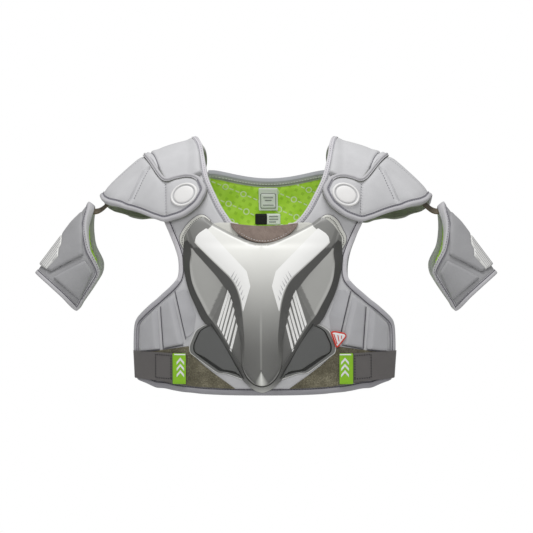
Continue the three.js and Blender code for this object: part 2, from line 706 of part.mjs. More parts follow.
// Wing plates under the lower edges of the chest plate: a raised face with a low rim outside it.
const wingPlateFace = [
  { u: 0, lift: wingPlateLift.face - 1 },
  { u: 0.4, lift: wingPlateLift.face },
  { u: 0.8, lift: wingPlateLift.rim + 1 },
  { u: 1, lift: wingPlateLift.rim },
];
addPair('wing_plate', wall(5, 5, (v, u, face) => {
  const x = mix(read(wingPlateRows, 'v', 'innerX', v), read(wingPlateRows, 'v', 'outerX', v), u);
  const z = mix(read(wingPlateRows, 'v', 'innerZ', v), read(wingPlateRows, 'v', 'outerZ', v), u);
  return frontPlace(x, z, face ? read(wingPlateFace, 'u', 'lift', u) : wingPlateLift.bed);
}), 'darkPlate');

// Suede tab at the neck: nearly straight above, an arc below.
add('neck_tab', wall(3, 10, (v, u, face) => {
  const across = 2 * u - 1;
  const shrink = face ? 0.97 : 1;
  const low = neckTab.top + (neckTab.bottom - neckTab.top) * (1 - across ** 2) ** 0.75 - 2;
  const z = mix(neckTab.top, low, v * shrink);
  return frontPlace(across * neckTab.half * shrink, z, face ? neckTab.thick : gap);
}), 'suede');

// Loop panels, belts and pull tabs.
addPair('loop_panel', wall(5, 5, (v, u, face) => {
  const x = mix(read(loopRows, 'v', 'outerX', v), read(loopRows, 'v', 'innerX', v), u);
  const z = mix(read(loopRows, 'v', 'outerZ', v), read(loopRows, 'v', 'innerZ', v), u);
  return frontPlace(x, z, face ? loopThick : gap);
}), 'olive');

function beltPoint(u, e, face) {
  const z = mix(belt.low, belt.high, e) + 3.5 * clamp(u / 0.35, 0, 1);
  const lift = belt.lift + face * belt.thick;
  const front = (x) => frontPlace(x, z, lift);
  const back = (x) => backPlace(x, z, lift);
  if (u <= 0.35) return front(mix(belt.start, belt.wing, u / 0.35));
  if (u >= 0.8) return back(mix(belt.back, belt.end, (u - 0.8) / 0.2));
  const start = front(belt.wing);
  const end = back(belt.back);
  const leave = start.clone().sub(front(belt.wing - 2)).normalize().multiplyScalar(belt.leave);
  const arrive = end.clone().sub(back(belt.back - 2)).normalize().multiplyScalar(belt.arrive);
  const turn = [start, start.clone().add(leave), end.clone().add(arrive), end];
  return new THREE.CubicBezierCurve3(...turn).getPoint((u - 0.35) / 0.45);
}
addPair('belt', wall(16, 2, (u, e, face) => beltPoint(u, e, face)), 'elastic');
addPair('pull_tab', wall(4, 3, (v, u, face) => {
  const x = mix(pullTab.inner, pullTab.outer, u);
  return frontPlace(x, mix(pullTab.low, pullTab.high, v), pullTab.lift + face * pullTab.thick);
}), 'pull');

// Small flag label on the left wing only.
const flagRing = (lift) => flagLabel.x.map((x, i) => frontPlace(x, flagLabel.z[i], lift));
const flagRings = [flagRing(flagLabel.lift), flagRing(flagLabel.lift + flagLabel.thick)];
add('flag_label', loft(flagRings, false), 'red');

// Labels on the back lining.
innerLabels.forEach((label) => {
  const base = -linerThick - liningGap - liningThick - 4 * gap;
  add(label.name, wall(2, 2, (v, u, face) => {
    const x = mix(label.left, label.right, u);
    return backPlace(x, mix(label.low, label.top, v), base - face * labelThick);
  }), 'label');
});

// Arm guards, built in their own frames and hung outside the caps.
function armPlace(angle, s, lift) {
  const turn = angle * degrees;
  return new THREE.Vector3(
    arm.middle + (arm.across + lift) * Math.cos(turn),
    -(arm.deep + lift) * Math.sin(turn),
    -s,
  );
}

const armTop = armRows[0].s;
const armLow = armRows[armRows.length - 1].s;
const armEdge = (column, s) => read(armRows, 's', column, s);

// A point between the rear edge (u 0) and the front edge (u 1), kept inside both by an inset.
function armPoint(s, u, inset) {
  const arc = arm.across * degrees;
  const front = insetEdge((at) => armEdge('front', at) * arc, s, inset) / arc;
  const rear = insetEdge((at) => armEdge('rear', at) * arc, s, inset) / arc;
  const angle = mix(-rear, front, u);
  const slant = armHemSlant * clamp(s / armLow, 0, 1) ** 3 * (angle / 128) ** 2;
  return [angle, s + slant];
}

const armShell = (rows, columns, low, high, inset) => wall(rows, columns, (v, u, face) => {
  const [angle, s] = armPoint(mix(armTop + inset, armLow - inset, v), u, inset);
  return armPlace(angle, s, face ? high : low);
});
const guardShell = armShell(9, 9, -arm.thick, 0, armBinding.width + 6 * gap);
const guardBack = -arm.thick - liningGap;
const guardLining = armShell(6, 8, guardBack - liningThick, guardBack, armBinding.width + 4);

const armLoop = [];
const armStations = [-9, -7, -3, 12, 24, 36, 46, 53, 60, 68, 88, 106, 114, 119];
armStations.forEach((s) => armLoop.push(armPoint(s, 1, 0)));
[0.86, 0.68, 0.5, 0.32, 0.14].forEach((u) => armLoop.push(armPoint(armLow, u, 0)));
[...armStations].reverse().forEach((s) => armLoop.push(armPoint(s, 0, 0)));
const guardEdge = edging(armLoop, armPlace, armBinding, arm.thick, 1, true);

const guardRidge = quadPad({
  outerTop: [armRidge.from, armRidge.top],
  outerLow: [armRidge.from, armRidge.low],
  innerLow: [armRidge.to, armRidge.low],
  innerTop: [armRidge.to, armRidge.top],
}, armPlace, 2 * gap, armRidge.thick, 3, 3);

[1, -1].forEach((side) => {
  const hand = side > 0 ? 'l' : 'r';
  const turned = (geometry) => (side > 0 ? geometry : mirrored(geometry));
  const frame = new THREE.Group();
  frame.position.set(arm.x * side, 0, arm.z);
  frame.rotation.y = -arm.tilt * degrees * side;
  pads.add(frame);
  add(`arm_guard_${hand}`, turned(guardShell), 'padCloth', frame);
  add(`arm_lining_${hand}`, turned(guardLining), 'greenLining', frame);
  add(`arm_binding_${hand}`, turned(guardEdge), 'tape', frame);
  add(`arm_ridge_${hand}`, turned(guardRidge), 'whiteRidge', frame);
  armPads.forEach((pad) => {
    const slab = quadPad(pad, armPlace, 3 * gap, armPadThick, 3, 4);
    add(`arm_pad_${pad.name}_${hand}`, turned(slab), 'padCloth', frame);
  });
});

// Elastic strap from under each cap into the top of the arm guard.
const strapCurve = new THREE.CatmullRomCurve3([
  new THREE.Vector3(213, 0, -61.5),
  new THREE.Vector3(225.5, 0, -75.5),
  new THREE.Vector3(238, 0, -87.5),
  new THREE.Vector3(246, 0, -92),
  new THREE.Vector3(252.9, 0, -91.6),
]);
addPair('arm_strap', wall(7, 2, (u, v, face) => {
  const point = strapCurve.getPoint(u);
  const along = strapCurve.getTangent(u);
  const up = new THREE.Vector3(-along.z, 0, along.x);
  point.y = mix(-armStrap.halfWidth, armStrap.halfWidth, v);
  return point.addScaledVector(up, (face - 0.5) * armStrap.thick);
}), 'elastic');

export default pads;
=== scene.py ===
import json
import math

import bpy
import numpy as np
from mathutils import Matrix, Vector
from mathutils.bvhtree import BVHTree
from mathutils.geometry import delaunay_2d_cdt

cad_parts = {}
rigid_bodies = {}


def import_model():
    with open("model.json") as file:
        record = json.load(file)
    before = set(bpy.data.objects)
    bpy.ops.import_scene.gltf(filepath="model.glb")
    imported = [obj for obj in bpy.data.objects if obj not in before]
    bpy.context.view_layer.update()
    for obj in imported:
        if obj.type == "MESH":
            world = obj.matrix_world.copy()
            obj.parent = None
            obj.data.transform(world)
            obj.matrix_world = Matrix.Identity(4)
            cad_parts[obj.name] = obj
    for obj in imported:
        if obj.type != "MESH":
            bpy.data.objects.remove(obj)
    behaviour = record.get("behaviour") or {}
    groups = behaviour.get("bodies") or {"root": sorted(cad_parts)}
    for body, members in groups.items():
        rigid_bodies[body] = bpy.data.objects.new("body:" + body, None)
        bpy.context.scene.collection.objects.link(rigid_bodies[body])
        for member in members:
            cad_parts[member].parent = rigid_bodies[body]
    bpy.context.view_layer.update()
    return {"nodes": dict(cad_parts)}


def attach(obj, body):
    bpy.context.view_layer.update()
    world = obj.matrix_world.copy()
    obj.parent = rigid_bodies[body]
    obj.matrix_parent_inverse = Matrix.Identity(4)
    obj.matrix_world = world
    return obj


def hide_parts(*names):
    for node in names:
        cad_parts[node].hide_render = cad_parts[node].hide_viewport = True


# Lacrosse shoulder pads. Sizes are in millimetres until a mesh is made; -Y is the front.
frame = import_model()
print("frame:", len(frame["nodes"]), "solids")

mm = 0.001
flatGirth = 140  # millimetres on the flat pattern to one unit of girth
flatAngle = 0.87  # millimetres to a degree round an arm
otherSide = np.array([-1, 1, 1])  # turns a point into its mirror image
otherHalf = np.array([-1, 1])  # the same on the flat pattern
toRear = np.array([1, -1])  # from the front of the flat pattern to the back


def table(names, *rows):
    return dict(zip(names.split(), np.array(rows, float).T))


def readTable(rows, key, column, at):
    # one column of a table, read smoothly between its rows
    keys, values = rows[key], rows[column]
    if keys[0] > keys[-1]:
        keys, values = keys[::-1], values[::-1]
    last = len(keys) - 1
    at = np.clip(at, keys[0], keys[-1])
    row = np.clip(np.searchsorted(keys, at) - 1, 0, last - 1)
    low = np.maximum(np.arange(last + 1) - 1, 0)
    high = np.minimum(np.arange(last + 1) + 1, last)
    slope = (values[high] - values[low]) / (keys[high] - keys[low])
    span = keys[row + 1] - keys[row]
    t = (at - keys[row]) / span
    bend = t * (1 - t) * ((1 - t) * slope[row] - t * slope[row + 1])
    return values[row] + (values[row + 1] - values[row]) * t * t * (3 - 2 * t) + bend * span


def numbered(rows):
    # the same table with its rows numbered, so that it can be read along its length
    count = len(next(iter(rows.values())))
    return {"step": np.arange(count, dtype=float), **rows}


def mix(a, b, t):
    return a + (b - a) * t


def easeStep(t):
    t = np.clip(t, 0, 1)
    return t * t * (3 - 2 * t)


def ramp(values, start, over):
    # smoothly from 0 at the start to 1 where the values have gone that far beyond it
    return easeStep((values - start) / over)


def bell(distance, width):
    return np.exp(-(distance / width) ** 2)


def roundUp(distance, radius):
    return np.sqrt(1 - (1 - np.clip(distance / radius, 0, 1)) ** 2)


def unit(vectors):
    return vectors / np.maximum(np.linalg.norm(vectors, axis=-1, keepdims=True), 1e-9)


# The body under the pads, as in the solids.
torsoHalf = 205
torso = table(
    "z front back arm",
    (-370, 108, 94, 0), (-300, 116, 99, 0), (-230, 120, 105, 0), (-170, 117, 109, 12),
    (-105, 105, 106, 48), (-60, 92, 98, 54), (20, 76, 86, 54),
)
shoulder = table(
    "x ridge fall",
    (0, 14, 92), (95, 13, 92), (120, 8, 91), (146, 0, 88), (158, -7, 85),
    (179, -23, 76), (198, -39, 68), (215, -55, 62), (234, -76, 56),
)
frontRows = table(
    "z half middle",
    (-105, 144, -105), (-125, 135, -125), (-142, 128, -142), (-159, 123, -160), (-177, 122.5, -178),
    (-188, 126, -192), (-203, 140.5, -208), (-220, 161, -226), (-238, 180.5, -244), (-250, 188, -258),
    (-270, 190, -280), (-298, 190, -308), (-322, 188, -332), (-331, 185, -345), (-337, 179, -355.5),
)
backRows = table(
    "z half middle",
    (-30, 152, -42), (-60, 149, -66), (-105, 136, -108), (-160, 117, -160), (-205, 121, -205),
    (-250, 144, -252), (-290, 154, -296), (-320, 150, -330), (-332, 140, -344),
)
yokeRows = table(
    "t inner outer",
    (-1, 90, 152), (-0.75, 86.2, 155), (-0.5, 86.8, 158), (-0.25, 92.3, 160), (0, 96.5, 162),
    (0.3, 90.8, 161), (0.6, 83, 158), (0.8, 68.5, 155), (0.9, 59, 150), (1, 46.5, 144),
)
capRows = table(
    "x top low",
    (82.5, -59, -63), (84, -54.5, -69), (90, -47, -78), (98, -42, -87), (110, -40, -96), (125, -42.5, -102),
    (137, -45.5, -104.5), (141, -44, -105), (145, -39.5, -104), (152, -29.5, -101), (160, -19.5, -97.5),
    (165, -15, -95.5), (174, -15, -92.5), (188, -15, -88.5), (204, -15, -86),
    (219, -15, -83.5), (226, -15, -82), (231, -15, -78),
)
armRows = table(
    "s front rear",
    (-9, 10, 12), (-5, 24, 28), (12, 41, 51), (24, 53.5, 67), (35, 68, 83), (46, 84, 109), (52, 99, 117),
    (58, 114, 122), (66, 123, 125), (92, 127, 128), (110, 129, 129), (117, 130.5, 130), (122, 126, 124),
)
hemPower = 3
quarter = math.pi / 2


def vestPoint(x, girth):
    x, girth = np.broadcast_arrays(np.asarray(x, float), np.asarray(girth, float))
    across, turn = np.abs(x), np.abs(girth)
    fall = readTable(shoulder, "x", "fall", across)
    angle = (1 - np.minimum(turn, 1)) * quarter
    drop = np.where(turn < 1, fall * (1 - np.sin(angle)), fall * (1 + (turn - 1) * quarter))
    z = readTable(shoulder, "x", "ridge", across) - drop
    chest = np.where(girth > 0, readTable(torso, "z", "front", z), readTable(torso, "z", "back", z))
    chest = chest * np.sqrt(np.maximum(0, 1 - (x / torsoHalf) ** 2))
    depth = (chest ** 4 + readTable(torso, "z", "arm", z) ** 4) ** 0.25
    return np.stack([x, -np.sign(girth) * depth * np.cos(angle), z], -1)


def vestPlace(x, girth, lift):
    across = vestPoint(np.asarray(x) + 0.5, girth) - vestPoint(np.asarray(x) - 0.5, girth)
    down = vestPoint(x, np.asarray(girth) + 0.01) - vestPoint(x, np.asarray(girth) - 0.01)
    lift = np.broadcast_to(lift, across.shape[:-1])
    return vestPoint(x, girth) + unit(np.cross(down, across)) * lift[..., None]


def girthAt(x, z):
    fall = readTable(shoulder, "x", "fall", np.abs(x))
    drop = np.maximum(readTable(shoulder, "x", "ridge", np.abs(x)) - z, 0) / fall
    bent = 1 - np.arcsin(np.clip(1 - drop, -1, 1)) / quarter
    return np.where(drop < 1, bent, 1 + (drop - 1) / quarter)


def onFront(points):
    points = np.asarray(points, float)
    return np.stack([points[..., 0], girthAt(points[..., 0], points[..., 1]) * flatGirth], -1)


def onBack(points):
    return onFront(points) * toRear


def vestFlat(flat, lift):
    return vestPlace(flat[..., 0], flat[..., 1] / flatGirth, lift)


def facePlace(x, z, lift, side=1):
    # a place on the front of the body, or on its back where side is -1
    return vestPlace(x, side * girthAt(np.asarray(x, float), np.asarray(z, float)), lift)


arm = {"x": 264, "z": -81, "tilt": math.radians(37), "middle": -51, "across": 50, "deep": 46, "hemSlant": 8,
       "hemAt": 119, "hemAngle": 128, "turn": math.radians(2.8)}
armCos, armSin = math.cos(arm["tilt"]), math.sin(arm["tilt"])


def armPlace(angle, s, lift):
    turn = np.radians(angle)
    out = arm["middle"] + (arm["across"] + lift) * np.cos(turn)
    y = -(arm["deep"] + lift) * np.sin(turn)
    return np.stack([arm["x"] + armCos * out + armSin * s, y, arm["z"] + armSin * out - armCos * s], -1)


def armFlat(flat, lift):
    return armPlace(flat[..., 0] / flatAngle, flat[..., 1], lift)


def onArm(points):
    # places on the front of the arm guard, from how far out and how high they are seen
    x, z = np.asarray(points, float).T
    out = armCos * (x - arm["x"]) + armSin * (z - arm["z"])
    angle = np.degrees(np.arccos(np.clip((out - arm["middle"]) / arm["across"], -1, 1)))
    return np.stack([angle * flatAngle, armSin * (x - arm["x"]) - armCos * (z - arm["z"])], -1)


def seenOn(place, flat, points, lift):
    # flat places whose raised points are seen from the front at these X and Z
    flat, points = np.array(flat, float), np.asarray(points, float)
    least, most = 0.08, 6  # keeps each step sound where the piece is seen edge on
    for _ in range(7):
        here = place(flat, lift)[..., [0, 2]]
        stepX = (place(flat + [0.5, 0], lift)[..., [0, 2]] - here) * 2
        stepY = (place(flat + [0, 0.5], lift)[..., [0, 2]] - here) * 2
        miss = points - here
        size = stepX[..., 0] * stepY[..., 1] - stepX[..., 1] * stepY[..., 0]
        size = np.where(np.abs(size) < least, np.copysign(least, size), size)
        goX = (miss[..., 0] * stepY[..., 1] - miss[..., 1] * stepY[..., 0]) / size
        goY = (stepX[..., 0] * miss[..., 1] - stepX[..., 1] * miss[..., 0]) / size
        flat = flat + np.clip(np.stack([goX, goY], -1), -most, most)
    return flat


def seenFront(points, lift):
    return seenOn(vestFlat, onFront(points), points, lift)


def seenBack(points, lift):
    return seenOn(vestFlat, onBack(points), points, lift)


def seenArm(points, lift):
    return seenOn(armFlat, onArm(points), points, lift)


# Lines and outlines on the flat pattern.
def gone(line):
    # how far along the line each of its points is
    return np.concatenate([[0], np.cumsum(np.linalg.norm(np.diff(line, axis=0), axis=1))])


def evenly(line, step):
    line = np.asarray(line, float)
    far = gone(line)
    at = np.linspace(0, far[-1], max(int(round(far[-1] / step)), 2) + 1)
    return np.stack([np.interp(at, far, line[:, k]) for k in range(line.shape[1])], -1)


def smoothPath(points, step, closed=False):
    # a curve through all the points
    points = np.asarray(points, float)
    count = len(points)
    t = np.linspace(0, 1, 12, endpoint=False)[:, None]
    spans = []
    for i in range(count if closed else count - 1):
        near = [k % count if closed else min(max(k, 0), count - 1) for k in range(i - 1, i + 3)]
        a, b, c, d = points[near]
        spans.append(b + 0.5 * t * (c - a + t * (2 * a - 5 * b + 4 * c - d + t * (3 * b - a - 3 * c + d))))
    line = evenly(np.vstack(spans + [points[:1] if closed else points[-1:]]), step)
    return line[:-1] if closed else line


def straightPath(points, step, closed=False):
    points = np.asarray(points, float)
    ends = closedLoop(points) if closed else points
    runs = [evenly(ends[i:i + 2], step)[:-1] for i in range(len(ends) - 1)]
    return np.vstack(runs if closed else runs + [ends[-1:]])


def roundedPath(points, radius, step, closed=True):
    # straight sides with rounded corners
    points = np.asarray(points, float)
    t = np.linspace(0, 1, 7)[:, None]
    out = []
    for i, corner in enumerate(points):
        if not closed and i in (0, len(points) - 1):
            out.append(points[i:i + 1])
            continue
        before, after = points[i - 1], points[(i + 1) % len(points)]
        reach = min(radius, 0.45 * np.linalg.norm(before - corner), 0.45 * np.linalg.norm(after - corner))
        start, end = corner + unit(before - corner) * reach, corner + unit(after - corner) * reach
        out.append((1 - t) ** 2 * start + 2 * t * (1 - t) * corner + t * t * end)
    return straightPath(np.vstack(out), step, closed)


def distanceTo(points, line):
    starts, along = line[:-1], np.diff(line, axis=0)
    size = np.maximum((along ** 2).sum(-1), 1e-12)
    found = []
    for chunk in np.array_split(points, max(1, len(points) * len(starts) // 2000000 + 1)):
        t = np.clip(((chunk[:, None] - starts) * along).sum(-1) / size, 0, 1)
        found.append(np.linalg.norm(chunk[:, None] - (starts + t[..., None] * along), axis=-1).min(1))
    return np.concatenate(found)


def insideOf(points, outline):
    ends = np.roll(outline, -1, 0)
    climb = ends[:, 1] - outline[:, 1]
    climb = np.where(np.abs(climb) < 1e-9, 1e-9, climb)
    found = []
    for chunk in np.array_split(points, max(1, len(points) * len(outline) // 4000000 + 1)):
        x, y = chunk[:, :1], chunk[:, 1:]
        crosses = (outline[:, 1] > y) != (ends[:, 1] > y)
        at = (ends[:, 0] - outline[:, 0]) * (y - outline[:, 1]) / climb + outline[:, 0]
        found.append((crosses & (x < at)).sum(1) % 2 == 1)
    return np.concatenate(found)


def closedLoop(outline):
    return np.vstack([outline, outline[:1]])


def wholeLoop(half, step=3.0):
    # an outline from its half, which starts and ends on the middle
    return evenly(closedLoop(np.vstack([half, half[-2:0:-1] * otherHalf])), step)[:-1]


def inwardOf(outline):
    ends = np.roll(outline, -1, 0)
    area = (outline[:, 0] * ends[:, 1] - ends[:, 0] * outline[:, 1]).sum()
    along = ends - np.roll(outline, 1, 0)
    return unit(np.stack([-along[:, 1], along[:, 0]], -1)) * math.copysign(1, area)


def insetLoop(outline, distance):
    moved = outline + inwardOf(outline) * distance
    return moved[distanceTo(moved, closedLoop(outline)) > 0.97 * distance]


def lattice(low, high, step):
    # points of a triangle lattice over a box
    rows = []
    for k, y in enumerate(np.arange(low[1], high[1], step * 0.866)):
        x = np.arange(low[0] + (k % 2) * step / 2, high[0], step)
        rows.append(np.stack([x, np.full_like(x, y)], -1))
    return np.vstack(rows)


def fillOutline(outline, step, rims=(), lines=()):
    # points that follow the edge, points that follow each line, and a plain lattice between them
    loop = closedLoop(outline)
    inward = inwardOf(outline)
    groups = [(outline + inward * reach, 0.92 * reach) for reach in rims]
    for line, sides in lines:
        line = evenly(line, step * 0.6)
        normal = unit(np.gradient(line, axis=0)) @ np.array([[0, 1], [-1, 0]])
        groups += [(line + normal * side, 0.4) for side in sides]
    filling = lattice(outline.min(0), outline.max(0), step)
    groups.append((filling, (rims[-1] if rims else 0) + 0.5 * step))
    taken, chosen = set(), [outline]
    cell = 0.4 * min(step, 1.6)
    for k, (points, least) in enumerate(groups):
        points = points[insideOf(points, outline)]
        points = points[distanceTo(points, loop) >= least] if len(points) else points
        if k == len(groups) - 1:
            for line, sides in lines:
                points = points[distanceTo(points, line) > max(sides) + 0.45 * step]
        spots = [tuple(spot) for spot in np.floor(points / cell).astype(int)]
        fresh = [i for i, spot in enumerate(spots) if not (spot in taken or taken.add(spot))]
        chosen.append(points[fresh])
    points = np.vstack(chosen)
    count = len(outline)
    edges = [(i, (i + 1) % count) for i in range(count)]
    flat, _, faces, *_ = delaunay_2d_cdt([Vector(p) for p in points], edges, [], 1, 1e-5, False)
    flat, faces = np.array([tuple(p) for p in flat]), np.array([tuple(face) for face in faces])
    faces = faces[insideOf(flat[faces].mean(1), outline)]
    return flat, [tuple(face) for face in faces.tolist()]


# Meshes.
def closeShell(top, under, faces):
    # the underside repeats the faces the other way round; a rim joins the borders where they don't meet
    count = len(top)
    meets = np.linalg.norm(top - under, axis=1) < 0.02
    below = np.where(meets, np.arange(count), np.arange(count) + count)
    sides = {(face[k], face[(k + 1) % len(face)]) for face in faces for k in range(len(face))}
    border = [(a, b) for a, b in sides if (b, a) not in sides and not (meets[a] and meets[b])]
    rim = [tuple(dict.fromkeys(int(i) for i in (b, a, below[a], below[b]))) for a, b in border]
    down = [tuple(int(below[i]) for i in reversed(face)) for face in faces]
    return np.vstack([top, under]), faces + down + rim


def gridFaces(rows, columns):
    index = np.arange(rows * columns).reshape(rows, columns)
    corners = [index[:-1, :-1], index[:-1, 1:], index[1:, 1:], index[1:, :-1]]
    return [tuple(quad) for quad in np.stack(corners, -1).reshape(-1, 4).tolist()]


def ringFaces(count, size, closed=False):
    # a tube of rings, with a face on each end unless it meets itself
    faces = []
    for i in range(count if closed else count - 1):
        here, there = i * size, ((i + 1) % count) * size
        faces += [(here + k, here + (k + 1) % size, there + (k + 1) % size, there + k) for k in range(size)]
    if not closed:
        faces += [tuple(range(size - 1, -1, -1)), tuple(range((count - 1) * size, count * size))]
    return faces


def linkObject(name, data):
    made = bpy.data.objects.new(name, data)
    bpy.context.scene.collection.objects.link(made)
    return made


def makePiece(name, points, faces, finishes, uv=None, slots=None, paint=None, sharp=50):
    used = np.unique([i for face in faces for i in face])
    order = np.full(len(points), -1)
    order[used] = np.arange(len(used))
    points = np.asarray(points)[used]
    mesh = bpy.data.meshes.new(name)
    mesh.from_pydata((points * mm).tolist(), [], [tuple(order[list(face)].tolist()) for face in faces])
    for finish in finishes:
        mesh.materials.append(finish)
    if slots is not None:
        mesh.polygons.foreach_set("material_index", np.asarray(slots, np.int32))
    corners = np.empty(len(mesh.loops), np.int32)
    mesh.loops.foreach_get("vertex_index", corners)
    if uv is not None:
        layer = mesh.uv_layers.new(name="cloth")
        layer.data.foreach_set("uv", (np.asarray(uv)[used][corners] * 0.1).astype(np.float32).ravel())
    if paint is not None:
        colours = mesh.color_attributes.new("paint", "FLOAT_COLOR", "POINT")
        shades = np.c_[np.asarray(paint)[used], np.ones(len(used))]
        colours.data.foreach_set("color", shades.astype(np.float32).ravel())
    mesh.validate()
    mesh.calc_loop_triangles()
    tris = np.empty(len(mesh.loop_triangles) * 3, np.int32)
    mesh.loop_triangles.foreach_get("vertices", tris)
    a, b, c = points[tris.reshape(-1, 3)].transpose(1, 0, 2)
    if (a * np.cross(b, c)).sum() < 0:
        mesh.flip_normals()
    mesh.shade_smooth()
    mesh.set_sharp_from_angle(angle=math.radians(sharp))
    return linkObject("shown_" + name, mesh)


def movePoints(mesh, change):
    # change takes places in metres and gives them back
    spots = np.empty(len(mesh.vertices) * 3, np.float32)
    mesh.vertices.foreach_get("co", spots)
    mesh.vertices.foreach_set("co", change(spots.reshape(-1, 3)).astype(np.float32).ravel())
    mesh.update()


def mirrorOf(piece, name):
    mesh = piece.data.copy()
    mesh.name = name
    mesh.flip_normals()
    movePoints(mesh, lambda spots: spots * otherSide)
    return linkObject("shown_" + name, mesh)


def keepPiece(piece, nodes):
    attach(piece, "root")
    if nodes:
        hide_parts(*nodes)
    return piece


def keepPair(piece):
    # the left piece and its mirror; they stand for the solids of the same name
    name = piece.name.removeprefix("shown_")[:-2]
    other = mirrorOf(piece, name + "_r")
    for one, hand in ((piece, "_l"), (other, "_r")):
        keepPiece(one, [name + hand])
    return piece, other


def liftOf(shape, flat, edge):
    # a height is a number, or a function of the place and of how far it is from the edge
    return shape(flat, edge) if callable(shape) else np.full(len(edge), float(shape))


def foam(name, outline, place, finishes, height, under, step, lines=(), rims=(0.4, 1.1, 2.2, 3.8)):
    flat, faces = fillOutline(outline, step, rims, lines)
    edge = distanceTo(flat, closedLoop(outline))
    low = liftOf(under, flat, edge)
    top = np.where(edge < 1e-4, low, liftOf(height, flat, edge))
    points, shell = closeShell(place(flat, top), place(flat, low), faces)
    slots = np.zeros(len(shell), int)
    if len(finishes) > 1:
        slots[len(faces):2 * len(faces)] = 1
    return makePiece(name, points, shell, finishes, np.vstack([flat, flat]), slots)


def ripple(flat, size, seed):
    # gentle unevenness of cloth over foam, the same on each run
    waves = np.zeros(len(flat))
    for k in range(6):
        turn = seed * 1.7 + k * 2.399
        ahead = (flat @ np.array([math.cos(turn), math.sin(turn)])) * (2 * math.pi / size) * (0.6 + 0.22 * k)
        waves += np.sin(ahead + seed * 5.1 + k * k) / (1.4 + 0.5 * k)
    return waves / 3


def sheetGrid(name, grid, thick, finish):
    # a cloth of even thickness over a grid of points
    rows, columns = grid.shape[:2]
    normal = unit(np.cross(np.gradient(grid, axis=0), np.gradient(grid, axis=1)))
    top = (grid + normal * thick / 2).reshape(-1, 3)
    low = (grid - normal * thick / 2).reshape(-1, 3)
    points, shell = closeShell(top, low, gridFaces(rows, columns))
    uv = np.stack(np.meshgrid(gone(grid[rows // 2]), gone(grid[:, columns // 2])), -1).reshape(-1, 2)
    return makePiece(name, points, shell, [finish], np.vstack([uv, uv]))


def tapeSection(look):
    # half the section of a binding, from the sewn edge to the fold: how far in, and how high
    wide, proud, thick, roll, furrow = [look[key] for key in ("width", "proud", "thick", "roll", "furrow")]
    run = wide - 0.9 - furrow
    sewn = wide - 0.4
    return [
        (wide, -0.4), (wide, 0.5 * proud), (sewn, 0.8 * proud), (sewn - 0.25 * furrow, 0.4 * proud),
        (sewn - 0.5 * furrow, 0.05 * proud), (sewn - 0.8 * furrow, 0.3 * proud), (sewn - furrow, 0.8 * proud),
        (run, (1 + 0.2 * roll) * proud), (0.7 * run, (1 + 0.5 * roll) * proud),
        (0.42 * run, (1 + 0.45 * roll) * proud), (0.2 * run, (0.85 + 0.1 * roll) * proud),
        (0.08 * run, 0.3 * proud), (0.02 * run, -0.12 * thick), (0, -0.3 * thick), (0, -0.5 * thick),
    ]


def tape(name, path, place, look, finishes, closed=False, calm=None):
    # binding folded over an edge, with a furrow where it is sewn; gives the piece and its seam line
    look = {"furrow": 1.7, "slim": 1.0, **look}
    base = place(path, 0.0)
    normal = unit(place(path, 1.0) - base)
    reach = 3  # points to each side that give the direction of the path
    if closed:
        along = np.roll(base, -reach, 0) - np.roll(base, reach, 0)
    else:
        spots = np.arange(len(base))
        along = base[np.minimum(spots + reach, len(base) - 1)] - base[np.maximum(spots - reach, 0)]
    inward = unit(np.cross(normal, along)) * look["side"]
    front = tapeSection(look)
    inset, lift = np.array(front + [(inset, -look["thick"] - lift) for inset, lift in front[::-1][1:]]).T
    slim = np.broadcast_to(look["slim"], len(base))[:, None, None]
    rings = base[:, None] + inward[:, None] * inset[:, None] * slim + normal[:, None] * lift[:, None]
    count, size = rings.shape[:2]
    # the furrow's faces take the second finish, its painted shade
    slotOf = [1 if k in (2, 3, 4, 5) else (2 if k >= len(front) - 1 else 0) for k in range(size)]
    if len(finishes) > 3:  # the fold at the very edge has a finish of its own
        slotOf = [3 if abs(k - len(front) + 0.5) < 4 else slot for k, slot in enumerate(slotOf)]
    # where calm, the furrow drops its painted shade and takes the plain finish
    calmSlots = [0 if slot == 1 else slot for slot in slotOf]
    slots = []
    for i in range(count if closed else count - 1):
        slots += calmSlots if calm is not None and calm[i] else slotOf
    if not closed:
        slots += [0, 0]
    wide = np.concatenate([[0], np.cumsum(np.hypot(np.diff(inset), np.diff(lift)))])
    uv = np.stack(np.broadcast_arrays(gone(base)[:, None], wide[None, :]), -1).reshape(-1, 2)
    faces = ringFaces(count, size, closed)
    piece = makePiece(name, rings.reshape(-1, 3), faces, finishes, uv, slots, sharp=70)
    seam = base + inward * (look["width"] - 0.4 - 0.5 * look["furrow"]) * slim[:, 0] + normal * 0.3
    return piece, closedLoop(seam) if closed else seam


def castTree(piece):
    points = [vertex.co.copy() for vertex in piece.data.vertices]
    return BVHTree.FromPolygons(points, [list(polygon.vertices) for polygon in piece.data.polygons])


def seenFrom(tree, points, lift):
    # points moved back from the front until they meet the piece, then raised off it
    ahead, out = Vector((0, 1, 0)), []
    for point in np.asarray(points, float):
        hit, normal, _, _ = tree.ray_cast(Vector(point * mm) - ahead * 0.6, ahead)
        if hit is None:
            hit, normal, _, _ = tree.find_nearest(Vector(point * mm))
        normal = -normal if normal.dot(ahead) > 0 else normal
        out.append(np.array(hit) / mm + np.array(normal) * lift)
    return np.array(out)


def fromFront(flat, side=1):
    # places in the plane of the view, from their X and Z
    return np.stack([flat[:, 0] * side, 0 * flat[:, 0], flat[:, 1]], -1)


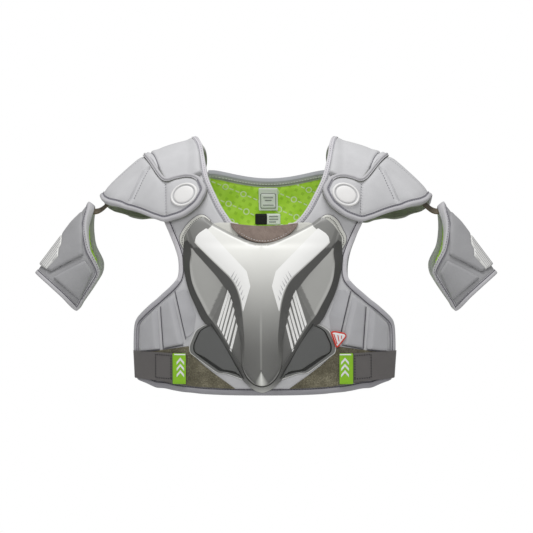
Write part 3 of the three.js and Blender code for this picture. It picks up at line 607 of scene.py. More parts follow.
def printOn(name, tree, outlines, finish, lifts, step, sides=(1,)):
    # thin print that follows a piece, from its low face to its top
    allPoints, allFaces, count = [], [], 0
    for outline in outlines:
        flat, faces = fillOutline(np.asarray(outline), step)
        for side in sides:
            low, top = [seenFrom(tree, fromFront(flat, side), lift) for lift in lifts]
            points, shell = closeShell(top, low, faces)
            if side < 0:
                shell = [face[::-1] for face in shell]
            allPoints.append(points)
            allFaces += [tuple(i + count for i in face) for face in shell]
            count += len(points)
    return makePiece(name, np.vstack(allPoints), allFaces, [finish])


# Finishes.
white = (1, 1, 1, 1)


def linear(shade):
    share = np.asarray(shade) / 255
    return np.where(share <= 0.04, share / 12.92, ((share + 0.055) / 1.055) ** 2.4)


def srgb(*colour):
    return tuple(linear(colour).tolist()) + (1,)


def shaded(colour, share):
    return tuple(min(c * share, 1.0) for c in colour[:3]) + (1,)


def addNode(tree, kind, inputs=None, **settings):
    made = tree.nodes.new(kind)
    for key, value in settings.items():
        setattr(made, key, value)
    for key, value in (inputs or {}).items():
        if isinstance(value, bpy.types.NodeSocket):
            tree.links.new(value, made.inputs[key])
        else:
            made.inputs[key].default_value = value
    return made


def maths(tree, kind, a, b=0.0, c=0.0):
    return addNode(tree, "ShaderNodeMath", {0: a, 1: b, 2: c}, operation=kind).outputs[0]


def weigh(tree, a, aShare, b, bShare):
    return maths(tree, "ADD", maths(tree, "MULTIPLY", a, aShare), maths(tree, "MULTIPLY", b, bShare))


def blendColour(tree, share, a, b, kind="MIX"):
    made = addNode(tree, "ShaderNodeMix", {"Factor": share, 6: a, 7: b}, data_type="RGBA", blend_type=kind)
    return made.outputs[2]


def noise(tree, where, scale, detail, rough=0.5):
    inputs = {"Vector": where, "Scale": scale, "Detail": detail, "Roughness": rough}
    return addNode(tree, "ShaderNodeTexNoise", inputs).outputs["Fac"]


def bands(tree, where, scale, direction, wander=0.0, detail=2.0):
    inputs = {"Vector": where, "Scale": scale, "Distortion": wander, "Detail": detail}
    return addNode(tree, "ShaderNodeTexWave", inputs, bands_direction=direction).outputs["Fac"]


def rampOf(tree, factor, stops):
    made = addNode(tree, "ShaderNodeValToRGB", {0: factor})
    elements = made.color_ramp.elements
    while len(elements) < len(stops):
        elements.new(0.5)
    for element, (position, colour) in zip(elements, stops):
        element.position = position
        element.color = colour
    return made.outputs[0]


def startFinish(name, coordinates="Object"):
    material = bpy.data.materials.new(name)
    material.use_nodes = True
    tree = material.node_tree
    tree.nodes.clear()
    shader = addNode(tree, "ShaderNodeBsdfPrincipled")
    output = addNode(tree, "ShaderNodeOutputMaterial")
    tree.links.new(shader.outputs[0], output.inputs[0])
    where = addNode(tree, "ShaderNodeTexCoord").outputs[coordinates]
    return material, tree, shader, where


def endFinish(tree, shader, colour, bump, values):
    # the colour, a bump given as height, strength and depth in metres, and the shader's plain values
    height, strength, deep = bump
    raised = addNode(tree, "ShaderNodeBump", {"Height": height, "Strength": strength, "Distance": deep})
    tree.links.new(colour, shader.inputs["Base Color"])
    tree.links.new(raised.outputs[0], shader.inputs["Normal"])
    for key, value in values.items():
        shader.inputs[key].default_value = value


plainWeave = {"ratio": 1.0, "warp": 0.5, "weft": 0.5, "wander": 0.6, "vary": 0.1, "depth": 0.12, "bump": 0.25,
              "rough": 0.85, "shine": 0.25}
padWeave = {"thread": 0.9, "vary": 0.08, "depth": 0.07}
tapeWeave = {"thread": 0.8, "ratio": 0.5, "vary": 0.08, "depth": 0.16, "bump": 0.4}
furrowWeave = {"thread": 0.8, "vary": 0.08, "depth": 0.16}
labelWeave = {"thread": 0.5, "vary": 0.05, "depth": 0.05, "rough": 0.6}
threadWeave = {"thread": 0.3, "vary": 0.06}
elasticWeave = {"thread": 0.9, "ratio": 0.6, "warp": 0.2, "weft": 0.8, "wander": 0.1, "vary": 0.07,
                "depth": 0.2, "bump": 0.5}


def clothFinish(name, colour, weave, **changes):
    # woven or knitted cloth: threads across and along the cloth, heathered yarn and faint cloudiness
    look = {**plainWeave, **weave, **changes}
    colour = srgb(*colour)
    material, tree, shader, where = startFinish(name, "UV")
    threads = 3.14 / look["thread"]
    warp = bands(tree, where, threads, "X", look["wander"], 1.0)
    weft = bands(tree, where, threads * look["ratio"], "Y", look["wander"], 1.0)
    woven = weigh(tree, warp, look["warp"], weft, look["weft"])
    yarn = noise(tree, where, 9.0, 4.0, 0.7)
    tone = weigh(tree, yarn, 0.55, noise(tree, where, 0.45, 2.0), 0.45)
    dark, light = shaded(colour, 1 - look["vary"]), shaded(colour, 1 + look["vary"])
    base = rampOf(tree, tone, [(0.3, dark), (0.5, colour), (0.7, light)])
    # the low places of the weave are darkened: painted shade between the threads
    deep = rampOf(tree, woven, [(0.1, shaded(white, 1 - look["depth"])), (0.6, white)])
    height = maths(tree, "ADD", woven, maths(tree, "MULTIPLY", yarn, 0.7))
    endFinish(tree, shader, blendColour(tree, 1.0, base, deep, "MULTIPLY"), (height, look["bump"], 0.0004),
              {"Roughness": look["rough"], "Specular IOR Level": look["shine"], "Sheen Weight": 0.15,
               "Sheen Roughness": 0.5})
    return material


greyCloth = clothFinish("grey_cloth", (204, 204, 206), padWeave, vary=0.07, depth=0.06)
# darker copies of the grey cloth for the wing pads and arm guards: painted shade, as they lie lower and face
# away from the light above
padClothShaded = clothFinish("pad_cloth", (184, 184, 187), padWeave)
armClothShaded = clothFinish("arm_cloth", (164, 164, 166), padWeave)
tapeCloth = clothFinish("binding_tape", (190, 189, 194), tapeWeave)
# lighter and darker copies of the binding tape: painted light on the upper armholes and the neck bindings,
# painted shade on the hem
tapePaintedLight = clothFinish("pale_tape", (213, 211, 215), tapeWeave)
hemPaintedShade = clothFinish("hem_tape", (160, 159, 164), tapeWeave)
rollCloth = clothFinish("neck_roll", (162, 164, 168), tapeWeave)
bandCloth = clothFinish("neck_band", (196, 195, 198), tapeWeave, vary=0.06, depth=0.1, bump=0.35)
# furrow greys: painted shade in the sewn furrows of the bindings and in creases and grooves
furrowShade = clothFinish("tape_furrow", (118, 116, 124), furrowWeave)
capFurrowShade = clothFinish("dark_furrow", (150, 149, 156), furrowWeave)
bandFurrowShade = clothFinish("band_furrow", (158, 157, 164), furrowWeave)
offWhite = clothFinish("flange_cloth", (220, 220, 213), furrowWeave, vary=0.06, depth=0.1)
darkLining = clothFinish("dark_lining", (140, 143, 131), padWeave, thread=1.4, vary=0.14, depth=0.3, bump=0.5)
elasticCloth = clothFinish("dark_elastic", (110, 107, 106), elasticWeave)
strapCloth = clothFinish("strap_elastic", (116, 106, 88), tapeWeave, ratio=0.6, vary=0.1, depth=0.25,
                         bump=0.5)
pullCloth = clothFinish("green_pull", (146, 204, 34), labelWeave, thread=0.6, vary=0.08, depth=0.12,
                        shine=0.4)
labelCloth = clothFinish("label_cloth", (238, 240, 240), labelWeave, vary=0.03)
darkLabel = clothFinish("label_print", (28, 28, 30), labelWeave, vary=0.1)
greyPrint = clothFinish("label_lines", (120, 122, 126), labelWeave)
redCloth = clothFinish("flag_red", (214, 66, 52), labelWeave, depth=0.08)
lightThread = clothFinish("light_thread", (226, 226, 228), threadWeave, vary=0.05)
greyThread = clothFinish("grey_thread", (128, 127, 134), threadWeave)
darkThread = clothFinish("dark_thread", (58, 57, 58), threadWeave)
whiteThread = clothFinish("white_thread", (240, 240, 240), threadWeave, vary=0.04)


def nappedFinish(name, look, stops):
    # suede, or the tangled loops of a fastening: a fine nap, worn in patches
    material, tree, shader, where = startFinish(name)
    nap = noise(tree, where, look["nap"], 5.0, look["fluff"])
    tone = weigh(tree, nap, look["share"], noise(tree, where, look["worn"], 3.0), 1 - look["share"])
    height = nap
    if "loops" in look:
        cells = addNode(tree, "ShaderNodeTexVoronoi", {"Vector": where, "Scale": look["loops"]})
        height = maths(tree, "ADD", cells.outputs["Distance"], nap)
    values = {"Roughness": look["rough"], "Specular IOR Level": look["shine"], "Sheen Weight": look["sheen"]}
    endFinish(tree, shader, rampOf(tree, tone, stops), (height, look["bump"], look["deep"]), values)
    return material


suede = nappedFinish(
    "suede",
    {"nap": 900.0, "fluff": 0.75, "worn": 110.0, "share": 0.6, "bump": 0.5, "deep": 0.0004, "rough": 0.95,
     "shine": 0.15, "sheen": 0.35},
    [(0.3, srgb(112, 98, 91)), (0.52, srgb(141, 126, 117)), (0.75, srgb(164, 149, 139))],
)
oliveLoop = nappedFinish(
    "olive_loop",
    {"nap": 520.0, "fluff": 0.8, "worn": 45.0, "share": 0.65, "loops": 620.0, "bump": 0.9, "deep": 0.0012,
     "rough": 1.0, "shine": 0.1, "sheen": 0.3},
    [(0.33, srgb(72, 67, 53)), (0.5, srgb(113, 108, 89)), (0.68, srgb(170, 164, 141))],
)
# Motifs of the lining, in centimetres: rings and bars in staggered rows, over a grid of diamonds.
motif = {"across": 2.9, "down": 2.3, "turn": 24, "ring": 0.4, "line": 0.075, "barFrom": 0.98, "barHalf": 0.3,
         "barLine": 0.085, "diamondTurn": -12, "diamonds": 0.62, "diamondEdge": 0.3}


def liningFinish():
    # green lining printed with white rings and bars, over darker diamonds of the same green
    material, tree, shader, where = startFinish("green_lining", "UV")

    def calc(kind, *values):
        return maths(tree, kind, *values)

    def turnedParts(degrees, scale):
        inputs = {"Vector": where, "Rotation": (0, 0, math.radians(degrees)), "Scale": (scale, scale, scale)}
        mapped = addNode(tree, "ShaderNodeMapping", inputs).outputs[0]
        return addNode(tree, "ShaderNodeSeparateXYZ", {0: mapped}).outputs

    def centred(value, pitch):
        return calc("SUBTRACT", calc("FLOORED_MODULO", value, pitch), pitch / 2)

    x, y, _ = turnedParts(motif["turn"], 1.0)
    row = calc("FLOOR", calc("DIVIDE", y, motif["down"]))
    shift = calc("MULTIPLY", calc("FLOORED_MODULO", row, 2.0), motif["across"] / 2)
    u = centred(calc("ADD", x, shift), motif["across"])
    v = centred(y, motif["down"])
    far = calc("SQRT", calc("ADD", calc("MULTIPLY", u, u), calc("MULTIPLY", v, v)))
    ring = calc("LESS_THAN", calc("ABSOLUTE", calc("SUBTRACT", far, motif["ring"])), motif["line"])
    beside = calc("ABSOLUTE", calc("SUBTRACT", calc("ABSOLUTE", u), motif["barFrom"]))
    bar = calc("MULTIPLY", calc("LESS_THAN", beside, motif["barHalf"]),
               calc("LESS_THAN", calc("ABSOLUTE", v), motif["barLine"]))
    x, y, _ = turnedParts(motif["diamondTurn"], motif["diamonds"])
    slants = [calc("PINGPONG", calc(kind, x, y), 0.5) for kind in ("ADD", "SUBTRACT")]
    diamond = calc("MULTIPLY", *[calc("GREATER_THAN", slant, motif["diamondEdge"]) for slant in slants])
    green = rampOf(tree, noise(tree, where, 0.5, 2.0), [(0.3, srgb(184, 234, 62)), (0.7, srgb(206, 250, 92))])
    toned = blendColour(tree, calc("MULTIPLY", diamond, 0.5), green, srgb(150, 206, 52))
    inked = calc("MULTIPLY", calc("MAXIMUM", ring, bar), 0.82)
    printed = blendColour(tree, inked, toned, srgb(240, 250, 226))
    yarn = rampOf(tree, noise(tree, where, 9.0, 4.0), [(0.3, shaded(white, 0.7)), (0.7, white)])
    height = calc("ADD", bands(tree, where, 3.2, "X"), bands(tree, where, 3.2, "Y"))
    endFinish(tree, shader, blendColour(tree, 0.25, printed, yarn, "MULTIPLY"), (height, 0.2, 0.0003),
              {"Roughness": 0.75, "Specular IOR Level": 0.3, "Sheen Weight": 0.1})
    return material


def plasticFinish(name, colour, rough, coat=0.0, vary=0.04):
    # moulded plastic with a faint satin grain; without a colour it shows the piece's own paint
    material, tree, shader, where = startFinish(name)
    haze = noise(tree, where, 26.0, 3.0)
    base = colour or addNode(tree, "ShaderNodeVertexColor", layer_name="paint").outputs[0]
    cloud = rampOf(tree, haze, [(0.3, shaded(white, 1 - vary)), (0.7, white)])
    sheen = addNode(tree, "ShaderNodeMapRange", {"Value": haze, "From Min": 0.3, "From Max": 0.7,
                                                 "To Min": rough - 0.05, "To Max": rough + 0.05})
    tree.links.new(sheen.outputs[0], shader.inputs["Roughness"])
    speck = noise(tree, where, 1400.0, 2.0)
    endFinish(tree, shader, blendColour(tree, 1.0, base, cloud, "MULTIPLY"), (speck, 0.12, 0.0002),
              {"Specular IOR Level": 0.45, "Coat Weight": coat, "Coat Roughness": 0.25})
    return material


greenLining = liningFinish()
platePaint = plasticFinish("plate_paint", None, 0.38)
darkPlate = plasticFinish("dark_plate", srgb(100, 101, 100), 0.4)
rimPlastic = plasticFinish("glossy_rim", srgb(116, 117, 115), 0.18, coat=0.6)
groovePlastic = plasticFinish("black_groove", srgb(50, 51, 49), 0.45)
decalWhite = plasticFinish("white_decal", srgb(248, 248, 246), 0.42, vary=0.02)
badgeRubber = plasticFinish("badge_rubber", srgb(238, 237, 236), 0.5)
badgeGrey = plasticFinish("badge_ring", srgb(196, 196, 197), 0.55)
ridgePlastic = plasticFinish("white_ridge", srgb(229, 229, 226), 0.45)
print("finishes:", len(bpy.data.materials))

stitchAndShadeRuns = {}


# lays a run of stitches, or a dark line of painted shade in a crease or groove, on this side and mirrored
def stitchOrShadeLine(kind, line, both=True):
    runs = stitchAndShadeRuns.setdefault(kind, [])
    runs.append(np.asarray(line))
    if both:
        runs.append(np.asarray(line) * otherSide)


def refinish(piece, slot, finish, low, high):
    # another finish for the faces of one slot that lie between two heights
    piece.data.materials.append(finish)
    made = len(piece.data.materials) - 1
    for polygon in piece.data.polygons:
        if polygon.material_index == slot and low * mm < polygon.center.z < high * mm:
            polygon.material_index = made


# Vest front with both yokes: one padded cloth from the hem over the shoulders.
vest = {"thick": 8, "round": 5, "step": 3.4, "tuck": 6, "ripple": 0.35, "fill": 0.35, "yokeFront": -104.6,
        "yokeRear": -28.6, "neck": -106}
vestTape = {"width": 10, "proud": 1.2, "thick": 8, "side": -1, "roll": 0.7, "hemTop": -329,
            "armholeLow": -190}
neckTape = {"width": 8, "proud": 1.0, "thick": 8, "side": -1, "roll": 0.1, "raise": 7.0,
            "riseFront": (66, -26), "riseRear": (-34, 30)}


def yokeGirth(x, t):
    front, rear = girthAt(x, vest["yokeFront"] + 0 * x), girthAt(x, vest["yokeRear"] + 0 * x)
    return np.where(t > 0, t * front, t * rear)


def yokeEdge(column, ts):
    x = readTable(yokeRows, "t", column, ts)
    return np.stack([x, yokeGirth(x, ts) * flatGirth], -1)


def hemLine(rows, count):
    u = np.linspace(1, 0, count)
    z = mix(rows["z"][-1], rows["middle"][-1], 1 - u ** hemPower)
    return np.stack([rows["half"][-1] * u, z], -1)


def sideLine(rows, count):
    steps = numbered(rows)
    at = np.linspace(0, steps["step"][-1], count)
    return np.stack([readTable(steps, "step", "half", at), readTable(steps, "step", "z", at)], -1)


def linerHeight(look, seed):
    half, soft = look["thick"] / 2, look["round"]

    def top(flat, edge):
        uneven = look["ripple"] * ripple(flat, 62, seed) * easeStep(edge / 14)
        return -half + half * roundUp(edge, soft) + uneven

    def under(flat, edge):
        return -half - half * roundUp(edge, soft)
    return top, under


armholeTop = [(157, -76), (154.5, -86), (150, -96)]
vestSide = onFront(np.vstack([armholeTop, sideLine(frontRows, 60)]))
vestHem = onFront(hemLine(frontRows, 40))
neckEdge = yokeEdge("inner", np.linspace(1, -1.03, 60))
yokeOuter = yokeEdge("outer", np.linspace(-1.03, 0.62, 50)) + [vest["tuck"], 0]
yokeOuter[:, 0] += 8 * bell(yokeOuter[:, 1], 40)  # it reaches under the cap
vestNeck = [[0, girthAt(0.0, vest["neck"]) * flatGirth]]
vestOutline = wholeLoop(np.vstack([vestNeck, neckEdge, yokeOuter, vestSide[1:], vestHem[1:]]))
vestFront = foam("vest_front", insetLoop(vestOutline, vest["tuck"]), vestFlat, [greyCloth, greenLining],
                 *linerHeight(vest, 1.0), vest["step"])
refinish(vestFront, 1, darkLining, -50, math.inf)  # dark cloth inside the yokes
keepPiece(vestFront, ["front_liner", "yoke_l", "yoke_r"])


def wholeEdge(path):
    return np.vstack([path, path[-2::-1] * otherHalf])


armholePath = smoothPath(np.vstack([vestSide[::3], vestHem[3::4]]), 2.6)
vestBinding, vestSeam = tape("front_binding", wholeEdge(armholePath), vestFlat, vestTape,
                             [tapeCloth, furrowShade, tapeCloth])
# the downward hem takes painted shade, the upper armhole painted light
refinish(vestBinding, 0, hemPaintedShade, -math.inf, vestTape["hemTop"])
refinish(vestBinding, 0, tapePaintedLight, vestTape["armholeLow"], math.inf)
keepPiece(vestBinding, ["front_binding"])
stitchOrShadeLine("dark", vestSeam, both=False)

neckFront = np.array([(38, 0), (41, 0)]) + [0, girthAt(40.0, -106.5) * flatGirth]
neckPath = evenly(np.vstack([neckFront, yokeEdge("inner", np.linspace(0.99, -0.985, 80))]), 2.4)


def bandPlace(flat, lift):
    # the band rises over the foam block and lies down before and behind it
    girth = flat[:, 1]
    rise = ramp(girth, *neckTape["riseFront"]) * ramp(girth, *neckTape["riseRear"])
    return vestFlat(flat, lift + neckTape["raise"] * rise)


# the band's top takes the lit tape copy, painted light; its furrow takes painted shade
neckFinishes = [tapePaintedLight, bandFurrowShade, darkLining]
neckBinding, neckSeam = tape("neck_binding_l", neckPath, bandPlace, neckTape, neckFinishes)
keepPair(neckBinding)
stitchOrShadeLine("light", neckSeam)
stitchOrShadeLine("grey", mix(bandPlace(neckPath, 1.3), neckSeam, 0.45))
print("vest front and bindings")

# Raised foam block of each yoke.
yokeBlock = {"thick": 9.2, "base": 0.6, "round": 2.8, "step": 2.2, "fill": 0.7, "groove": 3.2, "dip": 4.2,
             "dipInner": (97, 16), "dipOuter": (161, -12), "strip": 3.2, "stripFrom": (160, 5)}
blockFront = seenFront([(92.5, -33), (110.5, -40.5), (144.5, -44), (160, -22)], 7.0)
blockRear = np.array([(170, 16), (170, -14), (152, -30), (140, -52), (99, -52), (98, -25), (103, 0)])
blockOutline = roundedPath(np.vstack([blockFront, blockRear]), 4, 2.0)
grooveFront = seenFront([(150.5, -33.5), (154.5, -26), (158.5, -14)], 8.0)
blockGroove = evenly(smoothPath(np.vstack([grooveFront, [(162, 0), (160.5, -16), (155, -30)]]), 2), 1.4)


def blockTop(flat, edge):
    # the strip outside the groove runs on under the cap
    crown = roundUp(edge, yokeBlock["round"]) * (0.86 + 0.14 * roundUp(edge, 18))
    groove = bell(distanceTo(flat, blockGroove), 1.2) * easeStep(edge / 2)
    x = flat[:, 0]
    level = yokeBlock["dip"] * ramp(x, *yokeBlock["dipInner"]) * ramp(x, *yokeBlock["dipOuter"])
    level = level - yokeBlock["strip"] * ramp(x, *yokeBlock["stripFrom"])
    full = yokeBlock["thick"] - yokeBlock["base"] - level
    return yokeBlock["base"] + full * crown - yokeBlock["groove"] * groove


yokeBlockL = foam("yoke_block_l", blockOutline, vestFlat, [greyCloth], blockTop, yokeBlock["base"],
                  yokeBlock["step"], [(blockGroove, (-2.4, -1.2, 0, 1.2, 2.4))])
keepPair(yokeBlockL)
# a dark line along the groove: painted shade
stitchOrShadeLine("crease", vestFlat(blockGroove, blockTop(blockGroove, np.full(len(blockGroove), 9.0)) + 0.3))

# Vest back, its green lining and bindings.
back = {"thick": 8, "round": 5, "step": 3.8, "tuck": 6, "ripple": 0.5, "fill": 0.35}
backTape = {"width": 9, "proud": 1.2, "thick": 8, "side": 1, "roll": 1}
backNeckTape = {"width": 7.5, "proud": 1.1, "thick": 8, "side": 1, "roll": 0.6, "rise": 1.6}
backNeck = {"side": -29, "dip": 12, "reach": 82}


def backNeckLine(reach, count):
    x = np.linspace(0, reach, count)
    share = np.minimum(x / backNeck["reach"], 1)
    return np.stack([x, backNeck["side"] - backNeck["dip"] * (1 - share ** 2) ** 1.5], -1)


backSide = sideLine(backRows, 50)
backHem = hemLine(backRows, 40)
yokeJoin = np.array([(91, -16.5), (120, -16), (158, -18.5)])  # it meets the rear ends of the yokes
backHalf = np.vstack([backNeckLine(backNeck["reach"], 30), yokeJoin, backSide[1:], backHem[1:]])
backOutline = wholeLoop(onBack(backHalf))
backLiner = foam("back_liner", insetLoop(backOutline, back["tuck"]), vestFlat, [greyCloth],
                 *linerHeight(back, 2.0), back["step"])
keepPiece(backLiner, ["back_liner"])

lining = {"edge": -8.1, "lift": -9.6, "thick": 1.2, "step": 5.0, "ripple": 0.6, "tuck": 8.6}


def liningFace(flat, edge):
    uneven = lining["ripple"] * ripple(flat, 90, 3.0) * easeStep(edge / 20)
    return mix(lining["edge"], lining["lift"], easeStep(edge / 4)) + uneven


def liningInner(flat, edge):
    return liningFace(flat, edge) - lining["thick"]


backLining = foam("back_lining", insetLoop(backOutline, lining["tuck"]), vestFlat, [greenLining],
                  liningInner, liningFace, lining["step"], rims=(1.5, 4))
keepPiece(backLining, ["back_lining"])

backPath = smoothPath(onBack(np.vstack([backSide[2::3], backHem[3::4]])), 2.8)
backBinding, backSeam = tape("back_binding", wholeEdge(backPath), vestFlat, backTape,
                             [tapeCloth, furrowShade, tapeCloth])
keepPiece(backBinding, ["back_binding"])
stitchOrShadeLine("dark", backSeam, both=False)
neckHalf = onBack(backNeckLine(88, 40)) + [0, backNeckTape["rise"]]
neckWhole = evenly(np.vstack([neckHalf[::-1] * otherHalf, neckHalf[1:]]), 2.4)
backNeckBinding, backNeckSeam = tape("back_neck_binding", neckWhole, vestFlat, backNeckTape,
                                     [tapeCloth, furrowShade, bandCloth, rollCloth])
keepPiece(backNeckBinding, ["back_neck_binding"])
stitchOrShadeLine("white", vestFlat(neckWhole - [0, 4.8], -9.9), both=False)
stitchOrShadeLine("dark", backNeckSeam, both=False)
print("vest back")

# Shoulder caps.
cap = {"base": 1.8, "thick": 11, "round": 9, "step": 2.3, "seam": 3.4, "channel": 3.4, "ridge": 1.0,
       "ripple": 0.25, "fill": 0.75, "tuck": 4.4}
capTape = {"width": 9.5, "proud": 1.3, "thick": 10, "side": -1, "roll": 0.8, "furrow": 3.2, "sunk": 0.6}
capDrops = table("x drop", (150, 0), (157, 0), (170, 5), (183, 9), (205, 8.5), (226, 6.5), (231, 5))
capTip = (82.5, -61.0)


def capLow(x, rear):
    drop = readTable(capDrops, "x", "drop", x) if rear else 0
    return girthAt(x, readTable(capRows, "x", "low", x) - drop)


def capRun(rear):
    lowX = np.array([231, 227, 218, 200, 182, 166, 152, 139, 125, 111, 98, 90], float)
    topX = np.array([90, 98, 111, 125, 137, 145, 152, 160], float)
    low = np.stack([lowX, capLow(lowX, rear)], -1)
    tip = [[capTip[0], float(girthAt(*capTip))]]
    top = np.stack([topX, girthAt(topX, readTable(capRows, "x", "top", topX))], -1)
    run = np.vstack([low, tip, top, [[165, 0.16]]])
    return run * [1, -flatGirth if rear else flatGirth]


def frontAndRear(front):
    return [evenly(smoothPath(line, 2), 1.4) for line in (front, front * toRear)]


def nearest(flat, lines):
    return np.min([distanceTo(flat, line) for line in lines], axis=0)


capLoop = np.vstack([[[233, 0]], capRun(False), [[167, 0]], capRun(True)[::-1]])
capPath = smoothPath(capLoop, 2.3, True)
capInside = insetLoop(capPath, cap["tuck"])
capSeams = frontAndRear(seenFront([(142.5, -50), (142, -62), (141.5, -80), (141, -98)], 11.0))
capChannels = frontAndRear(seenFront([(170.5, -29), (176.5, -40), (184, -56.5), (191, -72)], 11.0))
capRidges = frontAndRear(np.array([(172, 25), (190, 25), (210, 24), (226, 24)], float))


def capFaceLift(flat, edge):
    seam, channel, ridge = [nearest(flat, lines) for lines in (capSeams, capChannels, capRidges)]
    lift = cap["base"] + cap["thick"] * (0.66 + 0.34 * roundUp(edge, cap["round"]))
    lift = lift - cap["seam"] * (0.62 * bell(seam, 8.0) + 0.38 * bell(seam, 1.5))
    lift = lift - cap["channel"] * ramp(channel, 5.4, -2.0)
    lift = lift - cap["ridge"] * bell(ridge, 1.5)
    return lift + cap["ripple"] * ripple(flat, 45, 4.0) * easeStep(edge / 10)


capLines = [(line, (-3.2, -1.6, -0.8, 0, 0.8, 1.6, 3.2)) for line in capSeams]
capLines += [(line, (-5.4, -4.4, -3.2, -2.2, 0, 2.2, 3.2, 4.4, 5.4)) for line in capChannels]
capLines += [(line, (-1.8, -0.9, 0, 0.9, 1.8)) for line in capRidges]
capPad = foam("shoulder_cap_l", capInside, vestFlat, [greyCloth, darkLining], capFaceLift, cap["base"],
              cap["step"], capLines)
keepPair(capPad)

# The binding's furrow carries painted shade on the lower edges only, and the binding is narrower along the
# upper ones.
capHigh = girthAt(capPath[:, 0], -70 + 0 * capPath[:, 0]) * flatGirth
capCalm = (np.abs(capPath[:, 1]) < capHigh) & (capPath[:, 0] < 172) & (capPath[:, 0] > 92)
capSlim = 1 - 0.4 * sum(np.roll(capCalm, k) for k in range(-4, 5)) / 9


def capEdgePlace(flat, lift):
    return vestFlat(flat, lift + (cap["base"] + cap["thick"]) - capTape["sunk"])


capBinding, capSeam = tape("cap_binding_l", capPath, capEdgePlace, {**capTape, "slim": capSlim},
                           [bandCloth, capFurrowShade, darkLining], True, capCalm)
keepPair(capBinding)
firstLow = np.flatnonzero(capCalm)[-1] + 1
stitchOrShadeLine("grey", np.roll(capSeam[:-1], -firstLow, 0)[~np.roll(capCalm, -firstLow)])


def onCap(line, lift=0.25):
    # a line on the cap, raised to its face
    flat = np.asarray(line)
    edge = distanceTo(flat, closedLoop(capInside))
    return vestFlat(flat, capFaceLift(flat, edge) + lift)


for line in capSeams + capRidges:
    stitchOrShadeLine("grey", onCap(line))
for line in capSeams:
    stitchOrShadeLine("light", onCap(line + [1.6, 0], 0.3))
for line, side in zip(capChannels, (1, -1)):
    stitchOrShadeLine("grey", onCap(line + np.array([-2.6, side * -1.1])))

# Dark lining that hangs inside each cap.
capLining = {"from": 150, "to": 228, "lift": -1.4, "thick": 1.4, "wrinkle": 1.1}
acrossCap, share = np.meshgrid(np.linspace(capLining["from"], capLining["to"], 46), np.linspace(0, 1, 90),
                               indexing="ij")
capGirth = mix(-(capLow(acrossCap, True) - 0.03), capLow(acrossCap, False) - 0.06, share)
capFlat = np.stack([acrossCap, capGirth * flatGirth], -1).reshape(-1, 2)
wrinkle = capLining["wrinkle"] * ripple(capFlat, 26, 5.0).reshape(share.shape)
capCloth = vestPlace(acrossCap, capGirth, capLining["lift"] + wrinkle)
capSheet = sheetGrid("cap_lining_l", capCloth, capLining["thick"], darkLining)
keepPair(capSheet)

# Round badge on each cap: a disc, a sunk grey ring and a raised outer ring. The tilt is in degrees.
badge = {"x": 117.2, "z": -65, "turns": 96, "tilt": 25, "across": (1.03, 0.845), "sunk": (5, 6, 7)}
badgeRings = table(
    "r lift",
    (20.2, -1.6), (20.2, 0.6), (19.7, 1.6), (18.6, 2.1), (17.7, 2.0), (17.0, 1.4), (16.3, 0.7), (15.2, 0.65),
    (14.6, 1.2), (13.8, 1.9), (12.6, 2.2), (6.0, 2.45), (0.01, 2.5),
)
centre = seenFront([(badge["x"], badge["z"])], 13.0)
seat = onCap(centre, 0.0)[0]
outward = unit(onCap(centre, 10.0)[0] - seat)
sideways = unit(np.cross(outward, [0, 0, 1.0]))
upwards = np.cross(sideways, outward)
tilt = math.radians(badge["tilt"])
longWay = (sideways * math.cos(tilt) + upwards * math.sin(tilt)) * badge["across"][0]
shortWay = (upwards * math.cos(tilt) - sideways * math.sin(tilt)) * badge["across"][1]
turns = np.linspace(0, 2 * math.pi, badge["turns"], endpoint=False)
circle = np.array([longWay * math.cos(turn) + shortWay * math.sin(turn) for turn in turns])
rings = np.array([seat + outward * lift + circle * r for r, lift in zip(badgeRings["r"], badgeRings["lift"])])
ringSlots = [int(i in badge["sunk"]) for i in range(len(rings) - 1)]
badgeSlots = [*np.repeat(ringSlots, badge["turns"]), 0, 0]
badgePiece = makePiece("cap_badge_l", rings.reshape(-1, 3), ringFaces(len(rings), badge["turns"]),
                       [badgeRubber, badgeGrey], slots=badgeSlots, sharp=60)
keepPair(badgePiece)
print("shoulder caps")

# Foam pads of the wings: the corners of each, and over how many millimetres its inward side slopes.
wingPad = {"thick": 5.6, "base": 0.2, "round": 2.4, "step": 2.0, "fill": 0.7}
wingPads = {  # the inward side runs from the third corner on
    "outer": ([(180.5, -253.5), (180, -292), (150, -288.5), (155.5, -229)], 6),
    "middle": ([(148.3, -225.5), (144.2, -287), (114.5, -281.5), (131.5, -210.5)], 6),
    "inner": ([(126.5, -205), (111, -273), (100, -264), (97, -240), (110, -202)], 22),
}
# dark lines between the pads and under their lower edges: painted shade
wingShadeLines = [
    [(149, -227.5), (144.8, -288)], [(127.2, -205), (111.4, -273.5)],
    [(180, -293.2), (150.5, -289.6)], [(143.6, -288.2), (115.5, -282.8)],
]


def wingTop(inside, reach):
    def top(flat, edge):
        crown = roundUp(edge, wingPad["round"]) * (0.9 + 0.1 * roundUp(edge, 16))
        slope = np.clip(distanceTo(flat, inside) / reach, 0, 1) ** 0.8
        return wingPad["base"] + wingPad["thick"] * np.minimum(crown, slope)
    return top


for name, (corners, reach) in wingPads.items():
    outline = evenly(closedLoop(seenFront(roundedPath(corners, 3, 2.5), 3.0)), 2.0)[:-1]
    inside = seenFront(evenly(corners[2:], 2), 3.0)
    pad = foam(f"wing_pad_{name}_l", outline, vestFlat, [padClothShaded], wingTop(inside, reach), wingPad["base"],
               wingPad["step"], [(inside, (-6.2, -5.2, 0.1, 5.2, 6.2))])
    keepPair(pad)
for line in wingShadeLines:
    stitchOrShadeLine("crease", vestFlat(seenFront(evenly(line, 2), 1.0), 1.0))
print("wing pads")

